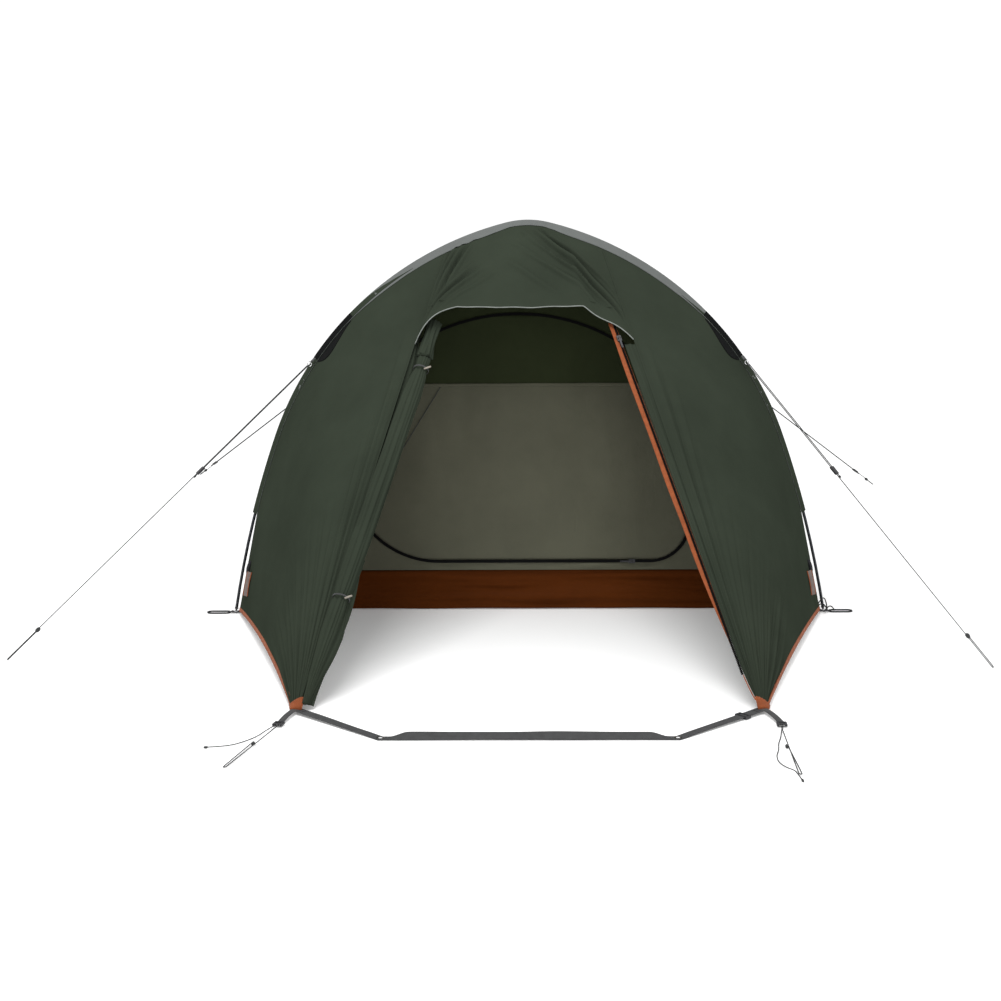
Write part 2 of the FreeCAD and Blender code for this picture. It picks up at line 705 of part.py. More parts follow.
def pole_tip(side, y, scale):
    """A plastic tip: a plug in the tube, a collar and a rounded nose on the ground."""
    end = angle_at_height(POLE_FOOT_Z, scale, POLE_INSET)
    spot = hoop_point(side * end, y, scale, POLE_INSET)
    out = Vec(side * math.cos(end), 0, -math.sin(end))
    depth = spot.z / math.sin(end) - 0.2
    profile = [(-18, 2.9), (0.4, 2.9), (0.4, 5.2), (4.0, 5.2), (4.0, 2.6), (depth - 1.2, 2.2), (depth, 1.0)]
    return turned(profile, spot, out)


def build_poles():
    rods = []
    for name, y, scale in (("front", FRONT_Y, 1.0), ("rear", REAR_Y, REAR_SCALE)):
        tubes, joints = pole_sections(y, scale)
        keep(name + "_pole_sections", *tubes)
        rods.append((joints, y, scale))
    keep("pole_ferrules", *[f for joints, y, scale in rods for f in ferrules(joints, y, scale)])
    cords = []
    for joints, y, scale in rods:
        end = joints[-1] - 0.012
        cords.append(along_hoop(-end, end, y, scale, round_section(SHOCK_R, POLE_INSET)))
    keep("pole_shock_cords", *cords)
    keep("pole_tips", *[pole_tip(s, y, k) for joints, y, k in rods for s in (-1, 1)])


# ---- feet --------------------------------------------------------------------------
def pole_foot(side, y, scale):
    end = angle_at_height(POLE_FOOT_Z, scale, POLE_INSET)
    spot = hoop_point(side * end, y, scale, POLE_INSET)
    return Vec(spot.x + side * (POLE_FOOT_Z - EYELET_Z) / math.tan(end), y, 0)


def foot_eyelet(foot):
    """The metal eyelet that the pole's tip stands in."""
    ring = Part.makeCylinder(8.0, 2.0, foot + Vec(0, 0, EYELET_Z))
    return ring.cut(Part.makeCylinder(3.9, 6, foot + Vec(0, 0, 3)))


def foot_webbing(foot, side):
    """The webbing that the eyelet is set in, running in under the hem to the buckle."""
    inner = foot - Vec(side * 58, 0, 0)
    outer = foot + Vec(side * 14, 0, 0)
    web = strap(inner + Vec(0, 0, 3.6), outer + Vec(0, 0, 3.6), 20.0, 1.4, UP)
    return web.cut(Part.makeCylinder(5.6, 8, foot))


def foot_buckle(foot, side):
    """A ladder-lock buckle between the fly's hem and the foot webbing."""
    plate = box((-11, -13, -2), (11, 13, 2))
    for x in (-6.0, 3.0):
        plate = plate.cut(box((x, -10.5, -3), (x + 3.0, 10.5, 3)))
    spot = foot - Vec(side * 30, 0, -9.2)
    return placed(plate, spot, Vec(1, 0, 0), Vec(0, 1, 0))


def oval_loop(centre, reach, half_wide, bar, thick, along):
    """A flat oval loop of webbing lying on the ground."""
    half = reach / 2 - half_wide
    def slab(grow):
        wide = half_wide - grow
        body = box((-half, -wide, 0), (half, wide, thick))
        for x in (-half, half):
            body = body.fuse(Part.makeCylinder(wide, thick, Vec(x, 0, 0)))
        return body
    ring = slab(0).cut(slab(bar)).removeSplitter()
    return placed(ring, centre, along, UP.cross(along))


def build_feet():
    eyelets, webs, buckles, loops = [], [], [], []
    for y, scale, reach in ((FRONT_Y, 1.0, FOOT_REACH), (REAR_Y, REAR_SCALE, FOOT_REACH - 60)):
        for side in (-1, 1):
            foot = pole_foot(side, y, scale)
            eyelets.append(foot_eyelet(foot))
            webs.append(foot_webbing(foot, side))
            buckles.append(foot_buckle(foot, side))
            first = abs(foot.x) + 15
            middle = Vec(side * (first + reach) / 2, y, 0)
            loops.append(oval_loop(middle, reach - first, 14.0, 4.0, 3.5, Vec(1, 0, 0)))
    keep("foot_eyelets", *eyelets)
    keep("foot_webbings", *webs)
    keep("foot_buckles", *buckles)
    keep("foot_peg_loops", *loops)
    tails = []
    for x in (-TAIL_HALF, 0.0, TAIL_HALF):
        middle = Vec(x, TAIL_Y + 2 + (TAIL_LOOP_REACH - 2) / 2, 0)
        tails.append(oval_loop(middle, TAIL_LOOP_REACH - 2, 12.0, 4.0, 3.5, Vec(0, 1, 0)))
    keep("tail_peg_loops", *tails)


# ---- porch strap -------------------------------------------------------------------
STRAP_START = Vec(-CORNER_X + 16, CORNER_Y - 8, 4.0)
STRAP_TURN = Vec(-STRAP_BEND[0], STRAP_BEND[1], 0)


def build_strap():
    rise = unit(STRAP_TURN - STRAP_START)
    slope_up = unit(rise.cross(Vec(rise.y, -rise.x, 0)))
    if slope_up.z < 0:
        slope_up = slope_up * -1
    arm_l = strap(STRAP_START, STRAP_TURN, STRAP_W, STRAP_T, slope_up)
    front = strap(STRAP_TURN - Vec(6, 0, 0), mirror_x(STRAP_TURN) + Vec(6, 0, 0), STRAP_W, STRAP_T, UP)
    low = front.BoundBox.ZMin
    front.translate(Vec(0, 0, -low))
    whole = front.multiFuse([arm_l, mirrored(arm_l)]).removeSplitter()
    whole = whole.common(box((-700, -1300, 0), (700, -900, 40)))
    eyelets = []
    for side in (-1, 1):
        spot = Vec(side * STRAP_BEND[0], STRAP_BEND[1], 0)
        whole = whole.cut(Part.makeCylinder(EYELET_HOLE_R + 1.6, 20, spot - Vec(0, 0, 5)))
        top = Part.makeCylinder(EYELET_R, 0.8, spot + Vec(0, 0, STRAP_T + 0.4))
        barrel = Part.makeCylinder(EYELET_HOLE_R + 1.3, STRAP_T + 1.2, spot)
        ring = top.fuse(barrel).cut(Part.makeCylinder(EYELET_HOLE_R, 20, spot - Vec(0, 0, 5)))
        eyelets.append(ring.removeSplitter())
    keep("porch_strap", whole.Solids[0] if len(whole.Solids) == 1 else whole)
    keep("strap_eyelets", *eyelets)
    build_strap_slider()


def build_strap_slider():
    """The ladder-lock that slides on the right arm of the strap."""
    start, turn = mirror_x(STRAP_START), mirror_x(STRAP_TURN)
    along = unit(turn - start)
    across = unit(UP.cross(along))
    body = box((-9, -17, -1.6), (9, 17, STRAP_T + 3.4))
    body = body.cut(box((-10, -STRAP_W / 2 - 1.0, -0.6), (10, STRAP_W / 2 + 1.0, STRAP_T + 1.0)))
    body = body.cut(box((-4, -STRAP_W / 2 - 1.0, 0), (4, STRAP_W / 2 + 1.0, 8)))
    spot = start + along * 52
    keep("strap_slider", placed(body, spot, along, across))


# ---- inner tent --------------------------------------------------------------------
def inner_edges(y, scale, inset):
    end = angle_at_height(BATHTUB_H + 2, scale, inset)
    return hoop_edges(-end, end, y, scale, inset)


def inner_tail_edges(y, shrink):
    half, low, shoulder, top = INNER_TAIL_HALF - shrink, BATHTUB_H + 2, 205.0 - shrink, 262.0 - shrink
    points = [Vec(-half, y, low), Vec(-half, y, shoulder), Vec(-150, y, top)]
    return polyline_edges(points + [mirror_x(p) for p in reversed(points)])


def inner_canopy():
    sections = []
    for y, scale in ((INNER_Y + 3, 1.0), (REAR_Y - 20, REAR_SCALE)):
        sections.append((inner_edges(y, scale, INNER_INSET), inner_edges(y, scale, INNER_INSET + FABRIC)))
    sections.append((inner_tail_edges(INNER_TAIL_Y, 0), inner_tail_edges(INNER_TAIL_Y, FABRIC)))
    return ruled_solid(sections)


def outline_plate(edges, low, high):
    """A plate in an XZ plane between two depths, closed along its base."""
    start, end = edges[0].Vertexes[0].Point, edges[-1].Vertexes[-1].Point
    wire = Part.Wire(edges + [Part.makeLine(end, start)])
    face = Part.Face(wire)
    return face.extrude(Vec(0, high - low, 0))


def door_outline(y, shrink):
    """The inner door: level sill, rounded lower corners, upright sides and an arched top."""
    left, right, sill, spring, top = DOOR_BOX
    left_r, right_r = [corner - shrink for corner in DOOR_CORNERS]
    left, right, sill, top = left + shrink, right - shrink, sill + shrink, top - shrink
    a = Vec(left + left_r, y, sill)
    b = Vec(right - right_r, y, sill)
    c = Vec(right, y, sill + right_r)
    d = Vec(right, y, spring)
    e = Vec(left, y, spring)
    f = Vec(left, y, sill + left_r)
    diagonal = math.sqrt(0.5)
    bc = Vec(right - right_r * (1 - diagonal), y, sill + right_r * (1 - diagonal))
    fa = Vec(left + left_r * (1 - diagonal), y, sill + left_r * (1 - diagonal))
    edges = [Part.makeLine(a, b), Part.Arc(b, bc, c).toShape(), Part.makeLine(c, d)]
    edges += [Part.Arc(d, Vec((left + right) / 2, y, top), e).toShape()]
    edges += [Part.makeLine(e, f), Part.Arc(f, fa, a).toShape()]
    return Part.Face(Part.Wire(edges))


def build_inner():
    keep("inner_canopy", inner_canopy())
    wall = outline_plate(inner_edges(INNER_Y, 1.0, INNER_INSET + 2), INNER_Y, INNER_Y + FABRIC)
    hole = door_outline(INNER_Y - 5, -3.0).extrude(Vec(0, 20, 0))
    keep("inner_front_wall", wall.cut(hole))
    door = door_outline(INNER_Y, 3.0).extrude(Vec(0, FABRIC, 0))
    low_half = box((-900, -100, 0), (900, 200, DOOR_SEAM_Z))
    high_half = box((-900, -100, DOOR_SEAM_Z + 0.5), (900, 200, 1200))
    keep("inner_door_panel", door.common(low_half))
    keep("inner_door_mesh", door.common(high_half))
    rear = outline_plate(inner_tail_edges(INNER_TAIL_Y + 0.5, 2), INNER_TAIL_Y, INNER_TAIL_Y + FABRIC)
    keep("inner_rear_wall", rear)
    build_inner_zip()
    build_bathtub()
    build_hangers()


def build_inner_zip():
    """The zip runs round the sill, the left side and the arch; the right side is the hinge."""
    y = INNER_Y - 3.6
    left, right, sill, spring, top = DOOR_BOX
    band = door_outline(y, -TEETH_HALF).cut(door_outline(y, TEETH_HALF))
    band = band.extrude(Vec(0, TEETH_DEEP, 0))
    hinge_side = box((right - 20, y - 5, sill + DOOR_CORNERS[1]), (right + 20, y + 5, spring))
    band = band.cut(hinge_side)
    keep("inner_door_zip", band.Solids[0] if len(band.Solids) == 1 else band)
    spot = Vec(INNER_ZIP_REST_X, y + TEETH_DEEP / 2, sill)
    for name, shape in (("slider", zip_slider()), ("puller", zip_puller())):
        keep("inner_zip_" + name, placed(shape, spot, Vec(0, 0, 1), Vec(-1, 0, 0)))


def bathtub_outline(grow, z):
    end = angle_at_height(BATHTUB_H, 1.0, INNER_INSET)
    front_half = hoop_point(end, 0, 1.0, INNER_INSET).x + grow
    rear_half = hoop_point(end, 0, REAR_SCALE, INNER_INSET).x + grow
    tail_half = INNER_TAIL_HALF + grow
    right = [Vec(front_half, INNER_Y - grow, z), Vec(rear_half, REAR_Y - 20, z),
             Vec(tail_half, INNER_TAIL_Y + grow, z)]
    points = right + [mirror_x(p) for p in reversed(right)]
    return Part.Face(Part.makePolygon(points + [points[0]]))


def build_bathtub():
    """The groundsheet: a flat floor with its edges turned up."""
    outer = bathtub_outline(0.0, 0).extrude(Vec(0, 0, BATHTUB_H))
    hollow = bathtub_outline(-FABRIC, FABRIC).extrude(Vec(0, 0, BATHTUB_H))
    keep("bathtub_floor", outer.cut(hollow))


def build_hangers():
    """Elastic tabs that hang the inner tent under the two poles."""
    tabs = []
    for y, scale in ((INNER_Y + 12, 1.0), (REAR_Y - 30, REAR_SCALE)):
        for degrees in (-72, -45, -18, 18, 45, 72):
            angle = math.radians(degrees)
            low = hoop_point(angle, y, scale, INNER_INSET - 0.6)
            high = hoop_point(angle, y, scale, FLY_INSET + FABRIC + 5.0)
            tabs.append(strap(low, high, 12.0, 1.2, Vec(0, 1, 0)))
    keep("inner_hangers", *tabs)


# ---- guys --------------------------------------------------------------------------
def guy_start(side, hoop):
    """Where a guy's ring stands off the hoop."""
    if hoop == "front":
        angle = shoulder_angle_at(GUY_TOP_Z - 6, 1.0, 0)
        return hoop_point(side * angle, FRONT_Y - SLEEVE_HALF - 6, 1.0, FLY_INSET - 12)
    angle = shoulder_angle_at(REAR_GUY_TOP_Z - 6, REAR_SCALE, 0)
    return hoop_point(side * angle, REAR_Y + SLEEVE_HALF + 6, REAR_SCALE, FLY_INSET - 12)


def guy_frame(name):
    """A guy's start, unit directions along and across it, and its length."""
    side, hoop, peg, runner_at, knot_at = GUYS[name]
    start = guy_start(side, hoop)
    along = unit(peg - start)
    start = start + along * 18
    across = unit(along.cross(UP))
    return start, along, across, (peg - start).Length


def guy_route(name):
    """Tail knot at the runner, up round the ring, down to the peg, round it, and into the knot."""
    start, along, across, length = guy_frame(name)
    side, hoop, peg, runner_at, knot_at = GUYS[name]
    gap = across * GUY_HALF_GAP
    tail = start + along * (length * runner_at + RUNNER_LONG / 2 + 9)
    return [tail - gap, start - gap, start + gap, peg + gap, peg - gap,
            start + along * (length * knot_at + 4) - gap]


def guy_ring(name):
    start, along, across, length = guy_frame(name)
    bar = start + along * GUY_HALF_GAP
    ring = Part.makeTorus(RING_R, RING_BAR, bar - along * RING_R, across)
    web_a = bar - along * (RING_R * 2 + 3.0)
    web_b = web_a - along * 14
    return ring, strap(web_b, web_a, 12.0, 2.0, Vec(0, 0, 1))


def guy_runner(name):
    """A line-lock: a rounded bar that both strands run through."""
    start, along, across, length = guy_frame(name)
    half_long, half_wide, half_high = RUNNER_LONG / 2, 7.0, 3.4
    body = box((-half_long, -half_wide, -half_high), (half_long, half_wide, half_high))
    body = body.makeFillet(2.0, body.Edges)
    for y in (-GUY_HALF_GAP, GUY_HALF_GAP):
        body = body.cut(Part.makeCylinder(GUY_R + 0.35, 60, Vec(-30, y, 0), Vec(1, 0, 0)))
    spot = start + along * (length * GUYS[name][3])
    return placed(body, spot, along, across)


def guy_knots(name):
    start, along, across, length = guy_frame(name)
    side, hoop, peg, runner_at, knot_at = GUYS[name]
    tail = start + along * (length * runner_at + RUNNER_LONG / 2 + 9) - across * GUY_HALF_GAP
    lower = start + along * (length * knot_at)
    return [knot(tail, along, 4.5, 2.4), knot(lower, along, 7.5, 5.6)]


def build_guys():
    knots, rings, webs = [], [], []
    for name in GUYS:
        keep("guy_" + name, cord_tube("guy_" + name, guy_route(name), GUY_R))
        keep("runner_" + name, guy_runner(name))
        knots += guy_knots(name)
        ring, web = guy_ring(name)
        rings.append(ring)
        webs.append(web)
        start, along, across, length = guy_frame(name)
        print("runner", name, along, "length", round(length, 1))
    keep("guy_knots", *knots)
    keep("guy_rings", *rings)
    keep("guy_ring_webs", *webs)


# ---- front corner cords ------------------------------------------------------------
CORNER_CORDS = {
    "left": {
        "buckle": Vec(-573, -1066, 5.0),
        "knot": Vec(-609, -1198, 4.0),
        "peg": Vec(-645, -1352, 3.0),
        "tail": [Vec(-709, -1222, 3), Vec(-683, -1218, 3), Vec(-652, -1207, 3), Vec(-628, -1180, 3),
                 Vec(-608, -1148, 3), Vec(-594, -1108, 4)],
    },
    "right": {
        "buckle": Vec(574, -1072, 5.0),
        "knot": Vec(562, -1222, 4.0),
        "peg": Vec(564, -1398, 3.0),
        "tail": [Vec(562, -1436, 3), Vec(556, -1412, 8), Vec(553, -1388, 8), Vec(540, -1356, 3),
                 Vec(529, -1322, 3), Vec(531, -1280, 3), Vec(542, -1242, 3), Vec(547, -1200, 3),
                 Vec(558, -1160, 3), Vec(566, -1116, 4)],
    },
}


def corner_route(name):
    """Free tail, round the buckle's bar, out to the peg, round it, and into the knot."""
    data = CORNER_CORDS[name]
    buckle, peg = data["buckle"], data["peg"]
    along = unit(peg - buckle)
    across = unit(along.cross(UP)) * GUY_HALF_GAP
    if name == "left":
        across = across * -1
    end = data["knot"] + along * 5 - across
    return data["tail"] + [buckle - across, buckle + across, peg + across, peg - across, end]


def corner_buckle(name):
    """A plastic cord fitting on the corner's webbing, with a bar for the cord."""
    data = CORNER_CORDS[name]
    along = unit(data["peg"] - data["buckle"])
    along = unit(Vec(along.x, along.y, 0))
    across = UP.cross(along)
    plate = box((-14, -12, -3.2), (8, 12, 3.2))
    plate = plate.makeFillet(1.8, plate.Edges)
    plate = plate.cut(box((-11, -9, -4), (-7, 9, 4)))
    plate = plate.cut(box((-4.2, -7, -4), (1.8, 7, 4)))
    plate = plate.cut(box((0, -7, -GUY_R - 1.0), (12, 7, GUY_R + 1.0)))
    return placed(plate, data["buckle"], along, across)


def build_corner_cords():
    knots = []
    buckles = []
    webs = []
    for name, side in (("left", -1), ("right", 1)):
        data = CORNER_CORDS[name]
        route = corner_route(name)
        keep("corner_cord_" + name, cord_tube("corner_cord_" + name, route, GUY_R))
        along = unit(data["peg"] - data["buckle"])
        tail_dir = unit(route[0] - route[1])
        knots += [knot(data["knot"], along, 7.0, 3.7), knot(route[0], tail_dir, 5.0, 2.6)]
        buckles.append(corner_buckle(name))
        start = Vec(side * (CORNER_X + 4), CORNER_Y - 16, 6.4)
        stop = data["buckle"] - along * 18
        webs.append(strap(start, stop, 16.0, 2.2, UP))
    keep("corner_cord_knots", *knots)
    keep("corner_buckles", *buckles)
    keep("corner_webbing", *webs)


def main():
    build_fly()
    build_piping()
    build_patches()
    build_side_tags()
    build_fly_zip()
    build_door_roll()
    build_poles()
    build_feet()
    build_strap()
    build_inner()
    build_guys()
    build_corner_cords()
    os.makedirs("parts", exist_ok=True)
    for name, shape in NODES.items():
        shape.translate(ORIGIN_SHIFT)
        solids = shape.Solids
        good = all(s.isValid() and s.isClosed() and s.Volume > 0 for s in solids)
        if not good or not solids:
            print("CHECK", name, len(solids), [(s.isValid(), s.isClosed(), s.Volume) for s in solids])
        shape.exportStep(os.path.join("parts", name + ".step"))
    print(len(NODES), "nodes, origin shift", ORIGIN_SHIFT)


main()
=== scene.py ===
import json
import math

import bmesh
import bpy
import numpy as np
from mathutils import Matrix, Vector, noise


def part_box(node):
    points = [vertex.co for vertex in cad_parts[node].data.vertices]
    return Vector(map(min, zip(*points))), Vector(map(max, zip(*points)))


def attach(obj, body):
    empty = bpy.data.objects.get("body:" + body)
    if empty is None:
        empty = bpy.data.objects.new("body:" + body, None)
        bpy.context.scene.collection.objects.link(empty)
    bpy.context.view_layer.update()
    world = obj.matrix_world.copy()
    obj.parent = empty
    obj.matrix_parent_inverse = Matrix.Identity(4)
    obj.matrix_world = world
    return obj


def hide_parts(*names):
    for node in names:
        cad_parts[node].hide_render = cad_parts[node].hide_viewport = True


# The looks of a two-hoop tunnel tent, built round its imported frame. Metres, +Z up,
# the porch towards -Y. Every sheet is a grid of points: rows along it, columns across it.
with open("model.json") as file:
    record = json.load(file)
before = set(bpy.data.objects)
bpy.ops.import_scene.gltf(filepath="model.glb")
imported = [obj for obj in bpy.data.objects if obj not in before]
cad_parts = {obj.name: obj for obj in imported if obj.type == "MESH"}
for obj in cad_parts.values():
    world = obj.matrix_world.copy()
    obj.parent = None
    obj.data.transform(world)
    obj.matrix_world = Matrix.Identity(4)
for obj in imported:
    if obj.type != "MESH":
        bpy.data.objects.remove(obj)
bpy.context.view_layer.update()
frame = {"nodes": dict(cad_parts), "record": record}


# ---- driving dimensions ----------------------------------------------------------------
def middle_y(node):
    low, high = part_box(node)
    return (low.y + high.y) / 2


FRONT_Y = middle_y("front_pole_sleeve")
REAR_Y = middle_y("rear_pole_sleeve")
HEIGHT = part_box("front_pole_sleeve")[1].z
REAR_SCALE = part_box("rear_pole_sleeve")[1].z / HEIGHT
TAIL_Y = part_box("fly_tail")[1].y
SAG = 0.0104                              # how far the roof sinks half way between the hoops
HOOP_RADII = (0.250, 0.950, 3.000)        # peak, shoulder and leg arcs of the front hoop
HOOP_BREAKS = (math.radians(14), math.radians(70))
FLY_INSET = 0.016
FLY_BASE_X = 0.838
SLEEVE_HALF = 0.026
LEG_Z = 0.300
HEM_Z = 0.013
CLOTH = 0.0009                            # thickness of the fly as drawn
EDGE_ROUNDING = 0.35                      # share of a band's thickness that its edges round off
CORNER = Vector((0.548, FRONT_Y - 0.965, 0.010))
CORNER_HALF = 0.008
SEAM_TOP_X = {-1: 0.231, 1: 0.205}
BROW_END = 0.232                          # share of the front edge that the brow takes
BROW_HEM = (FRONT_Y - 0.204, 0.891)
BROW_LEVEL = (-0.192, 0.148)
SIDE_NAMES = {-1: "left", 1: "right"}
HEM_ARC = {-1: 0.026, 1: 0.016}           # how far each porch hem arcs in from a straight line
TAIL_HALF = 0.480
TAIL_SEAM_X = 0.320
INNER_Y = FRONT_Y + 0.030
INNER_INSET = 0.075
TRAY_H = 0.117
WALL_FOOT = TRAY_H + 0.002                # where the inner walls start, just above the tray
INNER_REAR_Y = REAR_Y - 0.020
INNER_TAIL_Y = REAR_Y + 0.440
INNER_TAIL_HALF = 0.430
DOOR = (-0.522, 0.464, 0.145, 0.560, 0.862)   # left, right, sill, spring of the arch, top
DOOR_CORNERS = (0.262, 0.112)
DOOR_SEAM_Z = 0.660


# ---- mesh helpers ----------------------------------------------------------------------
def new_mesh(name, points, faces, uvs, body, slot, smooth=True):
    """A piece made of points and faces that rides on a body and has its slot's material."""
    mesh = bpy.data.meshes.new(name)
    mesh.from_pydata([tuple(p) for p in points], [], faces)
    layer = mesh.uv_layers.new(name="cloth")
    loops = np.zeros(len(mesh.loops), np.int32)
    mesh.loops.foreach_get("vertex_index", loops)
    layer.data.foreach_set("uv", np.asarray(uvs, np.float32)[loops].ravel())
    mesh.polygons.foreach_set("use_smooth", [smooth] * len(mesh.polygons))
    mesh.materials.append(MATERIALS[slot])
    obj = bpy.data.objects.new(name, mesh)
    bpy.context.scene.collection.objects.link(obj)
    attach(obj, body)
    return obj


def lengths(points):
    steps = np.linalg.norm(np.diff(points, axis=0), axis=1)
    return np.concatenate([[0.0], np.cumsum(steps)])


def resample(points, shares):
    """Points at given shares of a line's length."""
    points = np.asarray(points, float)
    along = lengths(points)
    wanted = np.asarray(shares) * along[-1]
    return np.stack([np.interp(wanted, along, points[:, k]) for k in range(3)], axis=1)


def grid_faces(rows, cols, start=0, wrap=False):
    faces = []
    last = cols if wrap else cols - 1
    for r in range(rows - 1):
        for c in range(last):
            d = (c + 1) % cols
            a = start + r * cols + c
            b = start + r * cols + d
            faces.append((a, b, b + cols, a + cols))
    return faces


def grid_uv(grid):
    """Metric cloth coordinates: across and along each grid."""
    across = np.zeros(grid.shape[:2])
    along = np.zeros(grid.shape[:2])
    middle = grid.shape[1] // 2
    across[:, 1:] = np.cumsum(np.linalg.norm(np.diff(grid, axis=1), axis=2), axis=1)
    across -= across[:, middle:middle + 1]
    along[1:, :] = np.cumsum(np.linalg.norm(np.diff(grid, axis=0), axis=2), axis=0)
    along[:] = along[:, middle:middle + 1]
    return np.stack([across, along], axis=2).reshape(-1, 2)


def normals(grid, outward=1.0):
    """Unit normals of a grid of points."""
    across = np.gradient(grid, axis=1)
    along = np.gradient(grid, axis=0)
    out = np.cross(across, along) * outward
    size = np.linalg.norm(out, axis=2, keepdims=True)
    return out / np.maximum(size, 1e-12)


def pushed(grid, height, outward=1.0):
    return grid + normals(grid, outward) * height[:, :, None]


def solidify(obj, thick, offset=-1.0):
    modifier = obj.modifiers.new("thickness", "SOLIDIFY")
    modifier.thickness = thick
    modifier.offset = offset
    return obj


def weld(obj, distance=0.0003):
    modifier = obj.modifiers.new("weld", "WELD")
    modifier.merge_threshold = distance
    return obj


def grid_piece(name, grids, body, slot, thick=CLOTH, offset=-1.0, wrap=False, joined=True):
    """One sheet from one or more grids, their shared borders welded unless they stay apart."""
    grids = grids if isinstance(grids, list) else [grids]
    points, uvs, faces = [], [], []
    for grid in grids:
        rows, cols = grid.shape[:2]
        faces += grid_faces(rows, cols, len(points), wrap)
        points += list(grid.reshape(-1, 3))
        uvs += list(grid_uv(grid))
    obj = new_mesh(name, points, faces, uvs, body, slot)
    if joined and len(grids) > 1:
        weld(obj)
    if thick:
        solidify(obj, thick, offset)
    return obj


def frames(points, up):
    """Side and up vectors along a line, the sides square to an up vector or one per point."""
    points = np.asarray(points, float)
    tangents = np.gradient(points, axis=0)
    tangents /= np.linalg.norm(tangents, axis=1, keepdims=True)
    ups = np.broadcast_to(np.asarray(up, float), points.shape)
    sides = np.cross(tangents, ups)
    sides /= np.linalg.norm(sides, axis=1, keepdims=True)
    return sides, np.cross(sides, tangents)


def swept(points, up, section):
    """A closed section of (side, up) offsets carried along a line: a grid of rings."""
    sides, ups = frames(points, up)
    return np.array([[point + side * a + above * b for a, b in section]
                     for point, side, above in zip(np.asarray(points, float), sides, ups)])


def band_section(width, thick):
    """A flat band with rounded edges."""
    half, deep = width / 2, thick / 2
    inner = half - EDGE_ROUNDING * thick
    return [(-half, 0), (-inner, deep), (0, deep), (inner, deep),
            (half, 0), (inner, -deep), (0, -deep), (-inner, -deep)]


def capped(rings, closed=False):
    """Points and faces of a tube of rings, with its ends closed."""
    rows, cols = rings.shape[:2]
    points = rings.reshape(-1, 3)
    faces = grid_faces(rows, cols, 0, True)
    if closed:
        for c in range(cols):
            d = (c + 1) % cols
            faces.append(((rows - 1) * cols + c, (rows - 1) * cols + d, d, c))
    else:
        faces.append(tuple(reversed(range(cols))))
        faces.append(tuple(range((rows - 1) * cols, rows * cols)))
    return points, faces


def ring_uv(rings):
    around = np.zeros(rings.shape[:2])
    around[:, 1:] = np.cumsum(np.linalg.norm(np.diff(rings, axis=1), axis=2), axis=1)
    along = np.broadcast_to(lengths(rings.mean(axis=1))[:, None], around.shape)
    return np.stack([around, along], axis=2).reshape(-1, 2)


def solid_piece(name, ring_sets, body, slot, closed=False):
    """One piece made of one or more capped tubes."""
    points, uvs, faces = [], [], []
    for rings in ring_sets:
        start = len(points)
        some, more = capped(rings, closed)
        faces += [tuple(start + i for i in face) for face in more]
        points += list(some)
        uvs += list(ring_uv(rings))
    return new_mesh(name, points, faces, uvs, body, slot)


def smooth_step(x, low, high):
    t = np.clip((np.asarray(x, float) - low) / (high - low), 0, 1)
    return t * t * (3 - 2 * t)


def wavy(u, rates, phases, sizes):
    """A sum of sines, the uneven fan of folds that a pulled cloth shows."""
    total = np.zeros_like(np.asarray(u, float))
    for rate, phase, size in zip(rates, phases, sizes):
        total += size * np.sin(2 * math.pi * (rate * u + phase))
    return total


def crease(u, v, start, end, width, height):
    """A soft ridge along a line in a sheet's own (across, along) shares, fading at its ends."""
    a, b = np.array(start, float), np.array(end, float)
    line = b - a
    share = np.clip(((u - a[0]) * line[0] + (v - a[1]) * line[1]) / (line @ line), 0, 1)
    away = np.hypot(u - a[0] - share * line[0], v - a[1] - share * line[1])
    return height * np.exp(-(away / width) ** 2) * np.sin(math.pi * (0.04 + 0.92 * share)) ** 0.7


def lumps(grid, scale, size):
    """Smooth random swell of a sheet, the same every run."""
    flat = grid.reshape(-1, 3)
    values = [noise.noise(Vector(p) * scale) for p in flat]
    return np.array(values).reshape(grid.shape[:2]) * size


# ---- materials -------------------------------------------------------------------------
def add(tree, kind, inputs=None, **settings):
    """A shader node whose inputs are numbers, colours or other nodes' sockets."""
    made = tree.nodes.new("ShaderNode" + kind)
    for key, value in settings.items():
        setattr(made, key, value)
    for key, value in (inputs or {}).items():
        socket = made.inputs[key]
        if isinstance(value, bpy.types.NodeSocket):
            tree.links.new(value, socket)
        else:
            socket.default_value = value
    return made


def maths(tree, operation, a, b=0.0):
    return add(tree, "Math", {0: a, 1: b}, operation=operation).outputs[0]


def start_material(name, roughness, metallic=0.0, sheen=0.0, specular=0.4):
    material = bpy.data.materials.new(name)
    material.use_nodes = True
    tree = material.node_tree
    shader = tree.nodes["Principled BSDF"]
    shader.inputs["Roughness"].default_value = roughness
    shader.inputs["Metallic"].default_value = metallic
    shader.inputs["Sheen Weight"].default_value = sheen
    shader.inputs["Sheen Roughness"].default_value = 0.45
    shader.inputs["Specular IOR Level"].default_value = specular
    return material, tree, shader


def shade(color, factor):
    return tuple(min(1.0, c * factor) for c in color[:3]) + (1.0,)


def tinted(tree, color, spread, scale, coords):
    """The colour, a little darker and lighter in soft patches."""
    patches = add(tree, "TexNoise", {"Vector": coords, "Scale": scale, "Detail": 5.0, "Roughness": 0.6})
    ramp = add(tree, "ValToRGB", {"Fac": patches.outputs["Fac"]})
    ramp.color_ramp.elements[0].position = 0.3
    ramp.color_ramp.elements[1].position = 0.7
    ramp.color_ramp.elements[0].color = shade(color, 1 - spread)
    ramp.color_ramp.elements[1].color = shade(color, 1 + spread)
    return ramp.outputs["Color"]


